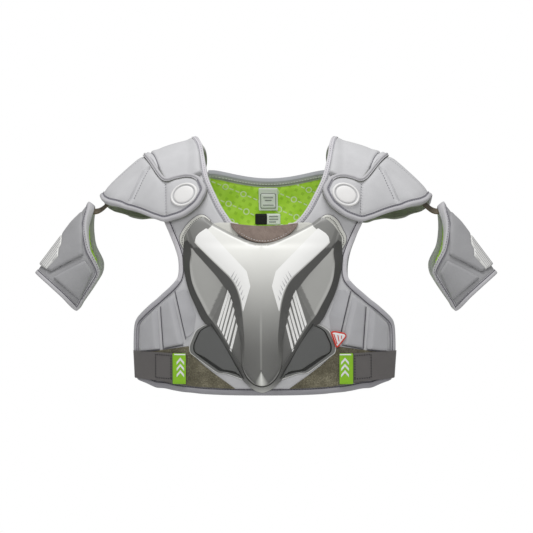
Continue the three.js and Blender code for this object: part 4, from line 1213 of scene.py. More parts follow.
# Chest plate: lines from the neck outwards, each row one station down the plate. y is the raised Y.
plateLines = table(
    "neckX neckZ crownX crownZ yTopX yTopZ yFootX yFootZ recessX recessZ edgeX edgeZ",
    (80.4, -99.6, 84.1, -97.4, 105.6, -113.1, 109.4, -118.2, 111.6, -121.8, 114.4, -127.6),
    (72.3, -106.1, 74.1, -110.0, 98.8, -132.1, 101.3, -142.4, 102.4, -145.7, 115.0, -146.4),
    (61.9, -111.5, 63.7, -115.4, 80.7, -150.9, 86.1, -160.2, 104.3, -166.3, 115.6, -163.1),
    (45.3, -120.2, 47.1, -124.0, 58.8, -171.7, 66.9, -181.2, 101.8, -187.9, 110.8, -188.5),
    (26.6, -129.0, 28.0, -132.3, 44.1, -186.2, 55.1, -196.5, 95.3, -205.9, 105.3, -207.3),
    (0.0, -135.2, 4.7, -138.4, 35.8, -199.5, 48.5, -205.6, 85.9, -224.0, 97.5, -224.8),
    (0.0, -162.4, 4.8, -162.4, 30.2, -216.8, 43.6, -218.2, 77.6, -239.2, 88.5, -243.6),
    (0.0, -195.8, 4.8, -195.8, 27.2, -234.9, 38.0, -235.6, 70.3, -248.7, 78.9, -255.9),
    (0.0, -234.9, 4.7, -234.9, 25.1, -255.2, 34.1, -255.2, 61.0, -262.4, 70.8, -268.2),
    (0.0, -268.2, 4.5, -268.2, 24.0, -272.6, 31.1, -272.6, 52.5, -276.2, 62.6, -281.3),
    (0.0, -290.0, 4.5, -290.0, 24.6, -290.0, 29.1, -290.0, 43.2, -290.7, 53.7, -295.1),
    (0.0, -307.4, 4.4, -307.4, 25.9, -305.9, 28.8, -305.9, 34.0, -306.7, 43.3, -311.0),
    (0.0, -319.0, 4.1, -319.0, 26.2, -314.6, 27.5, -315.4, 28.9, -316.1, 36.7, -320.4),
    (0.0, -330.6, 3.5, -330.6, 20.7, -326.0, 22.1, -326.8, 23.5, -327.7, 29.3, -331.5),
    (0.0, -335.4, 2.5, -335.4, 14.6, -333.6, 15.8, -334.6, 17.0, -335.6, 20.4, -340.8),
    (0.0, -338.8, 1.5, -338.8, 8.4, -338.6, 9.2, -339.6, 10.0, -340.6, 11.7, -347.3),
    (0.0, -340.4, 0.5, -340.5, 2.4, -340.8, 2.7, -341.8, 3.0, -342.8, 3.8, -350.6),
    (0.0, -340.6, 0.0, -340.7, 0.0, -341.0, 0.0, -342.0, 0.0, -343.0, 0.0, -351.0),
)
plateLifts = table(
    "z crown side recess",
    (-97, 6, 5, 4), (-106, 10, 9, 6), (-116, 12, 11, 7), (-127.5, 14, 12, 8), (-136, 15, 13, 8),
    (-145, 18, 14, 8), (-162, 21, 17, 9), (-188, 25, 21, 9), (-210, 27, 23, 9), (-236, 29, 25, 9),
    (-262, 30, 26, 9), (-290, 30, 22, 10), (-313, 29, 15, 12), (-326, 26, 13, 12.2), (-334, 20, 11, 10.3),
    (-338, 14.5, 9.6, 9), (-341, 9.4, 8.6, 8), (-350, 4, 4, 3.5),
)
neckShape = table(
    "x z",
    (0, -135.2), (4, -135.1), (10, -134.4), (21, -131.2), (38, -123.8), (45.3, -120.2),
    (62, -111.5), (72, -106.2), (80.4, -99.6),
)
plate = {
    "rows": 230, "lip": 3.5, "lipWide": 4.6, "edge": 3.0, "edgeRise": 1.5, "floor": 0.4, "frame": 1.4,
    "step": 2.2, "bed": 1.6, "endRound": (6.0, 8.0), "corner": ([98.6, 112.8], [-142, -127]),
    "bandFrom": (52.0, -195.5), "bandTo": (73.5, -241.0), "bandWidth": 7.5,
    "cone": -320.5, "coneHalf": 12.5, "coneRun": 20.5, "coneRise": 1.4,
}
# tones of the zones; the cone's near white is a painted highlight
plateTones = {"end": 132, "bevel": 95, "recess": 172, "band": 134, "panel": 122, "frame": 78, "lip": 168,
              "cone": 254}
crownTones = table(
    "z tone",
    (-360, 118), (-310, 116), (-285, 124), (-246, 155), (-217, 180), (-195, 198), (-174, 214), (-152, 236),
    (-130, 242), (-97, 242),
)
frameTones = table(
    "z tone",
    (-351, 196), (-347, 172), (-340, 140), (-330, 106), (-318, 88), (-270, 80), (-240, 78), (-97, 78),
)
lip, crown, bevel, recess, border = range(5)  # zones of the plate, from the neck outwards
zoneSides = [("neck", "crown", 5), ("crown", "yTop", 26), ("yTop", "yFoot", 9), ("yFoot", "recess", 24),
             ("recess", "edge", 10)]
neckStation = 5  # the last station on the neck edge


def plateLift(column, z):
    return readTable(plateLifts, "z", column, z)


def plateColumn(name, at):
    steps = numbered(plateLines)
    return np.stack([readTable(steps, "step", name + axis, at) for axis in ("X", "Z")], -1)


stations = np.linspace(0, len(plateLines["neckX"]) - 1, plate["rows"])
lineOf = {name: plateColumn(name, stations) for name in ("neck", "crown", "yTop", "yFoot", "recess", "edge")}
atNeck = stations <= neckStation
lineOf["neck"][atNeck, 1] = readTable(neckShape, "x", "z", lineOf["neck"][atNeck, 0])


def zoneLift(zone, share, z):
    # how high one line down the plate lies, at its share of the way across a zone
    crownZ, topZ, footZ = [lineOf[name][:, 1] for name in ("crown", "yTop", "yFoot")]
    side = plateLift("side", topZ)
    floor = plateLift("recess", z) + plate["floor"]
    if zone == lip:
        return plateLift("crown", crownZ)
    if zone == crown:
        return mix(plateLift("crown", mix(crownZ, topZ, share)), side, share ** 1.7)
    if zone == bevel:
        return mix(side, plateLift("recess", footZ) + plate["floor"], share)
    if zone == recess:
        return floor + plate["frame"] * ramp(share, 0.9, 0.1)
    foot = plate["edge"] + plate["edgeRise"]
    if share < 0.75:
        return mix(floor + plate["frame"], foot, (share / 0.75) ** 1.3)
    return mix(foot, plate["edge"], (share - 0.75) / 0.25) + 0 * floor


plateParts = []
for zone, (near, far, count) in enumerate(zoneSides):
    spread = easeStep(np.linspace(0, 1, count)) * 0.35 + np.linspace(0, 1, count) * 0.65
    for share in spread[(1 if zone else 0):]:
        spot = mix(lineOf[near], lineOf[far], share)
        if zone == crown:  # the end of the arm is round
            spot = spot + np.outer(easeStep(1 - stations) * share * (1 - share), plate["endRound"])
        x, z = spot.T
        plateParts.append([x, z, zoneLift(zone, share, z), np.full(len(z), zone), np.full(len(z), share)])
plateX, plateZ, plateH, plateZone, plateShare = np.array(plateParts).transpose(1, 2, 0)

# Forms that cross the zones: the lip at the neck, the step down to the lower panel, the facet at the foot.
plateSpots = np.stack([plateX, plateZ], -1)
neckCurve = lineOf["neck"][atNeck]
fromNeck = distanceTo(plateSpots.reshape(-1, 2), np.vstack([neckCurve, neckCurve[::-1] * otherHalf]))
lipShare = np.clip(fromNeck.reshape(plateX.shape) / plate["lipWide"], 0, 1)
onCrown = plateZone <= crown
inRecess = plateZone == recess
plateH = np.where(onCrown, mix(plate["lip"], plateH, np.sqrt(lipShare)), plateH)
bandStart, bandEnd = np.array(plate["bandFrom"]), np.array(plate["bandTo"])
bandAlong = unit(bandEnd - bandStart)
bandSide = (plateX - bandStart[0]) * bandAlong[1] - (plateZ - bandStart[1]) * bandAlong[0]  # positive below
sunk = easeStep(bandSide / plate["bandWidth"] + 0.5) * inRecess
plateH = plateH - plate["step"] * sunk * easeStep(plateShare / 0.12) * easeStep((1 - plateShare) / 0.12)
coneWide = np.clip(plate["coneHalf"] * (plate["cone"] - plateZ) / plate["coneRun"], 0, plate["coneHalf"])
coneShare = np.clip(1 - plateX / np.maximum(coneWide, 0.4), 0, 1) * onCrown * (plateZ < plate["cone"])
plateH = plateH + plate["coneRise"] * coneShare

# Tones of the plate, from 0 to 255.
tone = readTable(crownTones, "z", "tone", plateZ)
# a painted highlight down the middle of the crown in its lower half
middleHighlight = np.clip(1 - plateX / 1.8, 0, 1) * ramp(plateZ, -225, -40) * (plateZ > -318)
tone = tone + 36 * middleHighlight
# the facet at the foot is painted nearly white: a painted highlight
tone = np.where(onCrown, mix(tone, plateTones["cone"], coneShare ** 0.8), tone)
endZone = ramp(stations, 1.1, -0.06)[:, None] * np.ones_like(tone)
tone = np.where(onCrown, mix(tone, plateTones["end"], endZone), tone)
# the bevels are painted dark, lighter lower down: partly their own paint, partly painted shade of faces
# turned sideways and down
bevelTone = plateTones["bevel"] + 36 * ramp(plateZ, -265, -45) + 24 * ramp(plateZ, -312, -12)
tone = np.where(plateZone == bevel, bevelTone, tone)
bandTone = np.where(bandSide < plate["bandWidth"] / 2, plateTones["band"], plateTones["panel"])
bandTone = np.where(bandSide < -plate["bandWidth"] / 2, plateTones["recess"], bandTone)
tone = np.where(inRecess, bandTone - 16 * ramp(plateZ, -250, -60), tone)
tone = np.where(inRecess & (plateZ > -143), plateTones["frame"], tone)
tone = np.where(plateZone == border, readTable(frameTones, "z", "tone", plateZ), tone)
atEnd = (stations[:, None] < 0.3) | (plateZ > np.interp(plateX, *plate["corner"]))
tone = np.where((plateZone >= bevel) & atEnd, plateTones["end"], tone)
lipTone = mix(plateTones["lip"], tone, endZone)
tone = np.where(onCrown, mix(lipTone, tone, ramp(lipShare, 0.6, 0.3)), tone)
tint = np.array([1.0, 1.0, 0.955])

plateFlat = seenFront(plateSpots, plateH)
plateFlat[plateX < 0.02, 0] = 0
halfTop = vestFlat(plateFlat, plateH).reshape(-1, 3)
halfLow = vestFlat(plateFlat, np.minimum(plate["bed"], plateH - 0.8)).reshape(-1, 3)
index = np.arange(plateX.size)
# both halves share the points of the middle line
other = np.where(plateX.reshape(-1) < 0.02, index, index + plateX.size).tolist()
quads = gridFaces(*plateX.shape)
plateFaces = quads + [tuple(other[i] for i in quad[::-1]) for quad in quads]
plateTop = np.vstack([halfTop, halfTop * otherSide])
plateLow = np.vstack([halfLow, halfLow * otherSide])
points, shell = closeShell(plateTop, plateLow, plateFaces)
paint = np.vstack([linear(tone).reshape(-1, 1) * tint] * 4)
chestPlate = makePiece("chest_plate_shell", points, shell, [platePaint], paint=paint, sharp=38)
keepPiece(chestPlate, ["chest_plate"])
plateTree = castTree(chestPlate)


def decal(name, outlines, finish, lift):
    # print on both halves of the plate
    piece = printOn(name, plateTree, outlines, finish, (lift, lift + 0.12), 2.5, (1, -1))
    keepPiece(piece, [])


# White panel of each arm, with a hatched lower end, and the stripes of the recess.
crest = lineOf["yTop"]
crest = crest[(crest[:, 1] < -134) & (crest[:, 1] > -233)][::4] + [-0.9, 0.7]
panelTop = [(80.5, -113.5), (91.6, -121), (95.8, -126), (97.0, -131.5)]
panelFoot = [(26, -234.5), (15.4, -197.5), (20.9, -175.8)]
panel = roundedPath(np.vstack([panelTop, crest, panelFoot]), 2.0, 2.0)
stripeHalf = 1.5
stripeTops = [(48.6, -206.0), (46.2, -210.5), (43.4, -219.0), (40.6, -230.5), (39.0, -242.0), (36.2, -253.5)]
stripeLows = [(63.4, -254.0), (59.8, -259.8), (56.0, -266.4), (52.2, -273.0), (48.6, -279.6), (44.8, -290.0)]
stripes = []
for (topX, topZ), (lowX, lowZ) in zip(stripeTops, stripeLows):
    corners = [(topX - stripeHalf, topZ - 1.5), (topX + stripeHalf * 0.4, topZ + 3.5),
               (lowX + stripeHalf, lowZ + 2.0), (lowX - stripeHalf * 0.6, lowZ - 2.5)]
    stripes.append(straightPath(corners, 2.0, True))
hatchTops = [(43.6, -183.5), (40.2, -187.5), (37.2, -192.0), (34.5, -196.5), (31.9, -202.0), (29.6, -208.5),
             (27.6, -216.0)]
hatch = []
for k, (x, z) in enumerate(hatchTops):
    corners = [(x, z), (x - 6.0 + 0.4 * k, z + 9.0 - 0.5 * k), (x - 1.0, z - 2.2)]
    hatch.append(straightPath(corners, 1.6, True))
decal("plate_panels", [panel], decalWhite, 0.05)
decal("plate_hatch", hatch, badgeGrey, 0.22)
decal("plate_stripes", stripes, decalWhite, 0.05)
print("chest plate")

# Flange round the end of each arm of the plate.
flange = {"width": 5.6, "thick": 2.2, "base": 0.6}
flangeRun = smoothPath([(113.2, -141.5), (116.6, -134), (116.2, -126.5), (111.7, -118.6), (104, -107.2),
                        (96, -100), (90.5, -98.2), (83.8, -101.2), (79.5, -104.5)], 1.6)
flangeOut = unit(np.gradient(flangeRun, axis=0)) @ np.array([[0, -1], [1, 0]])
shares = np.linspace(-0.7, 1, 9)
taper = flange["width"] * np.sin(np.clip(np.linspace(0, 1, len(flangeRun)), 0.06, 0.94) * math.pi) ** 0.35
flangeSpots = flangeRun[:, None] + flangeOut[:, None] * shares[:, None] * taper[:, None, None]
crownShare = np.sqrt(np.clip(1 - np.maximum(shares, 0) ** 2 * 0.98, 0, 1))
flangeLift = np.broadcast_to(flange["base"] + flange["thick"] * crownShare, flangeSpots.shape[:2])
flangeGrid = vestFlat(seenFront(flangeSpots, flangeLift + 1.5), flangeLift)
flangePiece = sheetGrid("plate_flange_l", flangeGrid, 0.8, offWhite)
keepPair(flangePiece)
stitchOrShadeLine("teeth", flangeGrid[2:-2, 4] + [0, -1.2, 0])
# a dark line along the flange's outer edge: painted shadow
stitchOrShadeLine("crease", flangeGrid[:, -1] + [0, -0.3, 0])

# Wing plates: a glossy rim with a painted highlight along its outer edge, a groove in black painted shade
# and a raised face tucked under the chest plate.
wingBed = 0.8
wingCorners = [(78.5, -251), (88.5, -255.5), (97.3, -261.5), (106.6, -283.5), (106, -293.8), (66, -323),
               (52, -324), (28, -332.8)]
wingOuter = evenly(roundedPath(wingCorners, 4, 1.5, False), 1.5)
wingInner = evenly([(74.5, -252.5), (65, -266.5), (56, -280), (48, -294), (40.5, -308), (33.5, -319.5),
                    (27.4, -331)], 1.6)
along = np.linspace(0, 1, len(wingOuter))
innerAlong = np.linspace(0, 1, len(wingInner))
wingInner = np.stack([np.interp(along, innerAlong, wingInner[:, k]) for k in (0, 1)], -1)
# slots: 0 is the outer edge in white, a painted highlight; 1 the groove in black, painted shade; 2 the face;
# 3 the grey rim
wingSteps = table(  # how far in from the edge, at the side and on the lower edge
    "far low lift slot",
    (0, 0, 0.9, 0), (0.3, 0.3, 2.6, 0), (0.9, 0.9, 3.3, 0), (1.4, 1.4, 3.6, 3), (3.6, 3.0, 3.5, 3),
    (6.2, 5.4, 3.1, 3), (6.6, 5.8, 1.7, 1), (7.2, 8.4, 1.5, 1), (7.6, 10.0, 2.0, 1), (8.2, 10.8, 5.0, 2),
    (9.0, 11.6, 5.8, 2), (10.4, 13.0, 6.3, 2), (14, 17, 6.9, 2), (24, 26, 7.8, 2), (60, 60, 8.6, 2),
)
lower = ramp(along, 0.4, 0.1) * ramp(along, 0.9, -0.06)
inward = mix(wingSteps["far"][None, :], wingSteps["low"][None, :], lower[:, None])
reach = np.maximum(np.linalg.norm(wingInner - wingOuter, axis=1), 1)
share = np.minimum(inward / reach[:, None], np.linspace(0.05, 1, len(wingSteps["far"]))[None, :] ** 0.6)
share = np.maximum.accumulate(share, axis=1)
share[:, 0], share[:, -1] = 0, 1
wingLift = np.broadcast_to(wingSteps["lift"], share.shape)
wingFlat = seenFront(mix(wingOuter[:, None], wingInner[:, None], share[..., None]), wingLift)
wingGrid = vestFlat(wingFlat, wingLift).reshape(-1, 3)
wingLow = vestFlat(wingFlat, np.minimum(wingBed, wingLift - 0.4)).reshape(-1, 3)
points, shell = closeShell(wingGrid, wingLow, gridFaces(*share.shape))
topSlots = np.tile(wingSteps["slot"][:-1], len(share) - 1).astype(int)
slots = np.concatenate([topSlots, np.full(len(shell) - len(topSlots), 2)])
wingPiece = makePiece("wing_plate_l", points, shell, [ridgePlastic, groovePlastic, darkPlate, rimPlastic],
                      slots=slots, sharp=45)
keepPair(wingPiece)
print("wing plates")

# Suede tab at the neck.
neckTab = {"half": 49.5, "top": -106, "bottom": -133.5, "dip": 4.6, "thick": 2.6, "shift": 2.6, "lift": 5.2,
           "seam": 2.6}
across = np.linspace(-1, 1, 61)
tabX = across * neckTab["half"]
tabLow = neckTab["top"] + (neckTab["bottom"] - neckTab["top"]) * (1 - across ** 2) ** 0.75 - 1.5
tabTop = neckTab["top"] - neckTab["dip"] * (1 - across ** 2) + 0.6
tabSides = np.vstack([np.stack([tabX, tabTop], -1), np.stack([tabX, tabLow], -1)[::-1][1:-1]])
tabOutline = seenFront(evenly(tabSides + [neckTab["shift"], 0], 1.8), 6.5)


def tabFace(flat, edge):
    full = 0.75 * roundUp(edge, 1.2) + 0.25 * roundUp(edge, 9)
    return neckTab["lift"] + neckTab["thick"] * full - 0.5 * bell(edge - neckTab["seam"], 0.7)


tabPiece = foam("neck_tab", tabOutline, vestFlat, [suede], tabFace, neckTab["lift"] - 1.8, 1.8)
keepPiece(tabPiece, ["neck_tab"])
seamX = across * (neckTab["half"] - 3.4) + neckTab["shift"]
tabSeam = seenFront(np.stack([seamX, tabLow + 2.8], -1)[2:-2], 7.5)
stitchOrShadeLine("tab", vestFlat(tabSeam, tabFace(tabSeam, np.full(len(tabSeam), neckTab["seam"])) + 0.1), both=False)

# Off-white facing at each end of the tab.
facing = {"lift": 2.0, "thick": 0.8, "sunk": 0.6}
facingCorners = [(36, -106), (64.5, -105.2), (77, -108), (62, -117), (47, -125), (34, -130)]
facingOutline = seenFront(roundedPath(facingCorners, 2, 1.8), facing["lift"])


def facingTop(flat, edge):
    return facing["lift"] + facing["thick"] * roundUp(edge, 1.2)


facingPiece = foam("neck_facing_l", facingOutline, vestFlat, [offWhite], facingTop,
                   facing["lift"] - facing["sunk"], 2.2, rims=(0.5, 1.2))
for piece in (facingPiece, mirrorOf(facingPiece, "neck_facing_r")):
    keepPiece(piece, [])

# Loop panels, belts and pull tabs.
loopPanel = {"thick": 1.6, "base": 0.3, "step": 2.6, "ripple": 0.15}
loopCorners = [(181, -294.5), (107, -284), (101, -297), (84, -312), (66, -326), (38, -346), (100, -342.5),
               (140, -336), (160, -331), (176, -321)]


def loopTop(flat, edge):
    full = loopPanel["thick"] * roundUp(edge, 1.0)
    return loopPanel["base"] + full + loopPanel["ripple"] * ripple(flat, 7, 6.0)


loopOutline = onFront(straightPath(loopCorners, 3.0, True))
loopPiece = foam("loop_panel_l", loopOutline, vestFlat, [oliveLoop], loopTop, loopPanel["base"],
                 loopPanel["step"], rims=(0.4, 1.1))
keepPair(loopPiece)

belt = {"start": 129.5, "wing": 184, "back": 150, "end": 118, "low": -336, "high": -294, "lift": 3.4,
        "thick": 1.7, "leave": 19, "lowLeave": 9, "arrive": 30, "rise": 3.5, "lowRise": 6.5}


def beltLine(z, count):
    # one thread of the belt: along the wing, freely round the side, then along the back
    front = np.linspace(belt["start"], belt["wing"], count // 3)
    rear = np.linspace(belt["back"], belt["end"], count // 4)
    start, end = facePlace(belt["wing"], z, belt["lift"]), facePlace(belt["back"], z, belt["lift"], -1)
    height = (z - belt["low"]) / (belt["high"] - belt["low"])
    ahead = unit(start - facePlace(belt["wing"] - 2, z, belt["lift"]))
    leave = start + ahead * mix(belt["lowLeave"], belt["leave"], height)
    arrive = end + unit(end - facePlace(belt["back"] - 2, z, belt["lift"], -1)) * belt["arrive"]
    t = np.linspace(0, 1, count // 2)[1:-1, None]
    turn = (1 - t) ** 3 * start + 3 * t * (1 - t) ** 2 * leave + 3 * t * t * (1 - t) * arrive + t ** 3 * end
    line = np.vstack([facePlace(front, z, belt["lift"]), turn, facePlace(rear, z, belt["lift"], -1)])
    full = np.clip(np.linspace(0, 1, len(line)) / 0.35, 0, 1)
    line[:, 2] += mix(belt["lowRise"], belt["rise"], height) * full
    return line


beltLines = [beltLine(z, 90) for z in np.linspace(belt["low"], belt["high"], 15)]
beltPiece = sheetGrid("belt_l", np.array(beltLines).transpose(1, 0, 2), belt["thick"], elasticCloth)
keepPair(beltPiece)
boxSeam = straightPath([(133, -331.5), (156, -329.5), (156, -296), (133, -298)], 2.0, True)
stitchOrShadeLine("box", seenFrom(castTree(beltPiece), fromFront(boxSeam), 0.15))

pullTab = {"inner": 109.8, "outer": 128.2, "low": -338, "high": -294.5, "lift": 4.4, "thick": 1.8,
           "crown": 0.7}
pullX, pullZ = np.meshgrid(np.linspace(pullTab["inner"], pullTab["outer"], 15),
                           np.linspace(pullTab["low"], pullTab["high"], 29), indexing="ij")
pullSides = [pullX - pullTab["inner"], pullTab["outer"] - pullX, pullZ - pullTab["low"],
             pullTab["high"] - pullZ]
pullLift = pullTab["lift"] + pullTab["crown"] * roundUp(np.min(pullSides, axis=0), 2.5)
pullPiece = sheetGrid("pull_tab_l", facePlace(pullX, pullZ, pullLift), pullTab["thick"], pullCloth)
pullPair = keepPair(pullPiece)
pullTree = castTree(pullPiece)


def onTab(name, outlines):
    # plain print on the pull tab, and its mirror
    piece = printOn(name + "_l", pullTree, outlines, labelCloth, (0.04, 0.22), 1.5)
    return [keepPiece(one, []) for one in (piece, mirrorOf(piece, name + "_r"))]


chevrons = []
for z in (-324, -315, -306):
    corners = [(113.5, z - 5), (119, z + 1.5), (124.5, z - 5), (124.5, z - 1), (119, z + 5.5), (113.5, z - 1)]
    chevrons.append(straightPath(corners, 1.4, True))
foldBar = straightPath([(110.2, -297), (127.8, -297), (127.8, -295.4), (110.2, -295.4)], 1.4, True)
marks = onTab("pull_mark", chevrons)
folds = onTab("pull_fold", [foldBar])
print("belts and tabs")

# Small flag label on the left wing: a red edge, a pale field and three red bars, each a little higher.
flag = {"base": 5.6, "edge": 6.0, "round": 0.7, "inset": 2.0, "field": (6.6, 6.9), "bar": (6.95, 7.2)}
flagCorners = [(98.5, -263.6), (103.6, -261.7), (119.7, -264.8), (122.4, -269.7), (110.3, -285.2),
               (106.3, -286.4)]
flagBars = [
    [(102.3, -266), (104.1, -266.4), (108.6, -280.4), (107.4, -281.4)],
    [(108.3, -268), (109.8, -268.2), (111.4, -276.8), (110.2, -277.4)],
    [(113.8, -268.6), (115.2, -268.8), (114.6, -273.4), (113.4, -274)],
]
flagOutline = seenFront(roundedPath(flagCorners, 3, 1.2), 6.5)


def flagFace(flat, edge):
    return flag["edge"] + flag["round"] * roundUp(edge, 0.8)


def flagPatch(name, outline, lifts, finish, rim):
    patch = foam(name, outline, vestFlat, [finish], lifts[1], lifts[0], 1.6, rims=(rim,))
    return keepPiece(patch, [])


flagPiece = foam("flag_label", flagOutline, vestFlat, [redCloth], flagFace, flag["base"], 1.6,
                 rims=(0.5, 1.2))
flagParts = [flagPatch("flag_centre", insetLoop(flagOutline, flag["inset"]), flag["field"], labelCloth, 0.5)]
for k, corners in enumerate(flagBars):
    outline = seenFront(roundedPath(corners, 0.6, 1.0), 7.0)
    flagParts.append(flagPatch(f"flag_bar_{k}", outline, flag["bar"], redCloth, 0.3))
flagKept = keepPiece(flagPiece, ["flag_label"])

# Labels sewn on the back lining, left plain but for a printed border and bars. Boxes are X, then Z.
labelLift = -13.0
labels = {"neck_label": (-15, 13, -87, -54), "size_label": (-20.5, 16.5, -107.5, -91.5)}
labelPrints = [  # name, label, box, how far it lies over the label, finish and corner
    ("label_field_0", "neck_label", (-12.6, 10.6, -84, -62), 0.7, greyPrint, 2.0),
    ("label_field_1", "size_label", (-20.5, -3, -107.5, -91.5), 0.7, darkLabel, 2.0),
    ("label_window", "neck_label", (-11.6, 9.6, -83, -63), 1.3, labelCloth, 2.0),
]
labelBars = [
    ("neck_label", (-8, 6, -68), 1.9), ("neck_label", (-6, 4, -72), 1.9),
    ("neck_label", (-9, 7, -79), 1.9), ("size_label", (0, 13.5, -95.5), 0.7),
    ("size_label", (0, 13.5, -99.5), 0.7), ("size_label", (0, 10, -103.5), 0.7),
]
for k, (label, (x0, x1, z), over) in enumerate(labelBars):
    labelPrints.append((f"label_bar_{k}", label, (x0, x1, z - 0.6, z + 0.6), over, greyPrint, 0.5))


def labelPatch(name, box, lift, finish, corner=2.0):
    x0, x1, z0, z1 = box
    outline = seenBack(roundedPath([(x0, z0), (x1, z0), (x1, z1), (x0, z1)], corner, 1.5), lift)
    return foam(name, outline, vestFlat, [finish], lift - 0.5, lift, 2.5, rims=(0.5,))


prints = {label: [] for label in labels}
for name, label, box, over, finish, corner in labelPrints:
    patch = labelPatch(name, box, labelLift - over, finish, corner)
    prints[label].append(keepPiece(patch, []))
for name, box in labels.items():
    patch = keepPiece(labelPatch(name, box, labelLift, labelCloth), [name])
print("labels")

# Arm guards.
guard = {"thick": 9, "round": 4, "step": 2.6, "tuck": 5.5, "ripple": 0.3, "crease": 0.8, "fill": 0.6,
         "end": 122}
armTape = {"width": 7.5, "proud": 1.0, "thick": 9, "side": 1, "roll": 0.25}


def armEdge(column, s):
    sign = 1 if column == "front" else -1
    angle = sign * readTable(armRows, "s", column, s)
    slant = arm["hemSlant"] * np.clip(s / arm["hemAt"], 0, 1) ** 3 * (angle / arm["hemAngle"]) ** 2
    return np.stack([angle * flatAngle, s + slant], -1)


def turned(points, side):
    # each arm guard is turned a little about its own upright axis, towards the same side
    c, d = math.cos(arm["turn"]), math.sin(arm["turn"])
    x, y, z = np.asarray(points, float).T
    x = x - side * arm["x"]
    return np.stack([side * arm["x"] + c * x - d * y, d * x + c * y, z], -1)


def keepArm(piece):
    pair = keepPair(piece)
    for one, side in zip(pair, (1, -1)):
        movePoints(one.data, lambda spots: turned(spots / mm, side) * mm)
    return pair


def sewArm(kind, line):
    stitchOrShadeLine(kind, turned(line, 1), both=False)
    stitchOrShadeLine(kind, turned(np.asarray(line) * otherSide, -1), both=False)


armStations = np.array([-9, -7, -3, 4, 12, 24, 36, 46, 53, 60, 68, 88, 106, 116, guard["end"]], float)
hemAngles = np.linspace(114, -116, 12)[1:-1]
hemDrop = arm["hemSlant"] * (hemAngles / arm["hemAngle"]) ** 2
armHem = np.stack([hemAngles * flatAngle, guard["end"] + hemDrop], -1)
armLoop = np.vstack([armEdge("front", armStations), armHem, armEdge("rear", armStations)[::-1]])
armPath = smoothPath(armLoop, 2.4, True)
creaseLine = evenly(onArm([(265.6, -154), (290, -166.5), (315.5, -178.4)]), 1.5)


def guardTop(flat, edge):
    half = guard["thick"] / 2
    dip = guard["crease"] * bell(distanceTo(flat, creaseLine), 2.2)
    uneven = guard["ripple"] * ripple(flat, 40, 7.0) * easeStep(edge / 9)
    return -half + half * roundUp(edge, guard["round"]) - dip + uneven


def guardUnder(flat, edge):
    return -guard["thick"] / 2 - guard["thick"] / 2 * roundUp(edge, guard["round"])


guardPiece = foam("arm_guard_l", insetLoop(armPath, guard["tuck"]), armFlat, [armClothShaded, greenLining],
                  guardTop, guardUnder, guard["step"], [(creaseLine, (-2, -1, 0, 1, 2))])
keepArm(guardPiece)
armFinishes = [bandCloth, furrowShade, tapeCloth]
armBinding, armSeam = tape("arm_binding_l", armPath, armFlat, armTape, armFinishes, True)
keepArm(armBinding)
sewArm("grey", armSeam)
sewArm("grey", armFlat(evenly(armEdge("front", np.linspace(6, 104, 50)) - [4.8, 0], 2.0), 1.5))


armLiner = {"edge": -9.2, "lift": -11.0, "thick": 1.0, "step": 4.0, "tuck": 8.5}


def armLiningFace(flat, edge):
    return mix(armLiner["edge"], armLiner["lift"], easeStep(edge / 4))


def armLiningInner(flat, edge):
    return armLiningFace(flat, edge) - armLiner["thick"]


armLining = foam("arm_lining_l", insetLoop(armPath, armLiner["tuck"]), armFlat, [greenLining],
                 armLiningInner, armLiningFace, armLiner["step"], rims=(1.5, 4))
keepArm(armLining)


def wrapped(*places):
    # places on the arm given as an angle and a distance down
    return np.array(places, float) * [flatAngle, 1]


armPad = {"thick": 4.0, "base": 0.3, "round": 3.4, "step": 2.0, "fill": 0.7}
ridgeFront = [(298.4, -126.9), (299.4, -136.3), (302.8, -141.8), (303.3, -154), (320.6, -172.3)]
upperFront = [(269.2, -98.5), (268.0, -118), (267.5, -136), (266.0, -152), (292, -164.6), (314, -176)]
upperRear = wrapped((-30, 46), (-30, 14), (0, 10), (20, 11))
lowerFront = [(263.0, -160.0), (251.5, -178.0), (262.5, -202), (270.0, -219), (289, -203),
              (310.5, -184.5), (290, -173)]
armPads = {
    "upper": np.vstack([seenArm(upperFront, 3.0), seenArm(ridgeFront[::-1], 4.0) - [0.8, 0], upperRear]),
    "lower": seenArm(lowerFront, 3.0),
}


def armPadTop(flat, edge):
    # the upper pad runs out towards the top of the guard
    full = 0.3 + 0.7 * ramp(flat[:, 1], 8, 26)
    crown = roundUp(edge, armPad["round"]) * (0.84 + 0.16 * roundUp(edge, 14))
    return armPad["base"] + armPad["thick"] * full * crown


for name, corners in armPads.items():
    pad = foam(f"arm_pad_{name}_l", roundedPath(corners, 3, 1.8), armFlat, [armClothShaded], armPadTop,
               armPad["base"], armPad["step"])
    keepArm(pad)

ridge = {"thick": 3.4, "base": 0.4, "flute": 4.4, "lines": (0, 12, 19, 25, 31, 36, 41)}
ridgeRear = wrapped((8, 108), (-30, 104), (-30, 50))
ridgeOutline = roundedPath(np.vstack([seenArm(ridgeFront, 4.0), ridgeRear]), 2, 1.6)


def ridgeTop(flat, edge):
    rib = 0.9 * np.abs(np.sin(flat[:, 0] / ridge["flute"] * math.pi)) - 0.5
    return ridge["base"] + (ridge["thick"] + rib) * roundUp(edge, 1.8)


ridgePiece = foam("arm_ridge_l", ridgeOutline, armFlat, [ridgePlastic], ridgeTop, ridge["base"], 1.1)
keepArm(ridgePiece)
ridgeInside = insetLoop(ridgeOutline, 1.6)
for angle in ridge["lines"]:
    line = np.stack([np.full(60, angle * flatAngle), np.linspace(45, 108, 60)], -1)
    line = line[insideOf(line, ridgeInside)]
    if len(line) > 4:
        sewArm("flute", armFlat(line, ridgeTop(line, np.full(len(line), 9.0)) + 0.15))

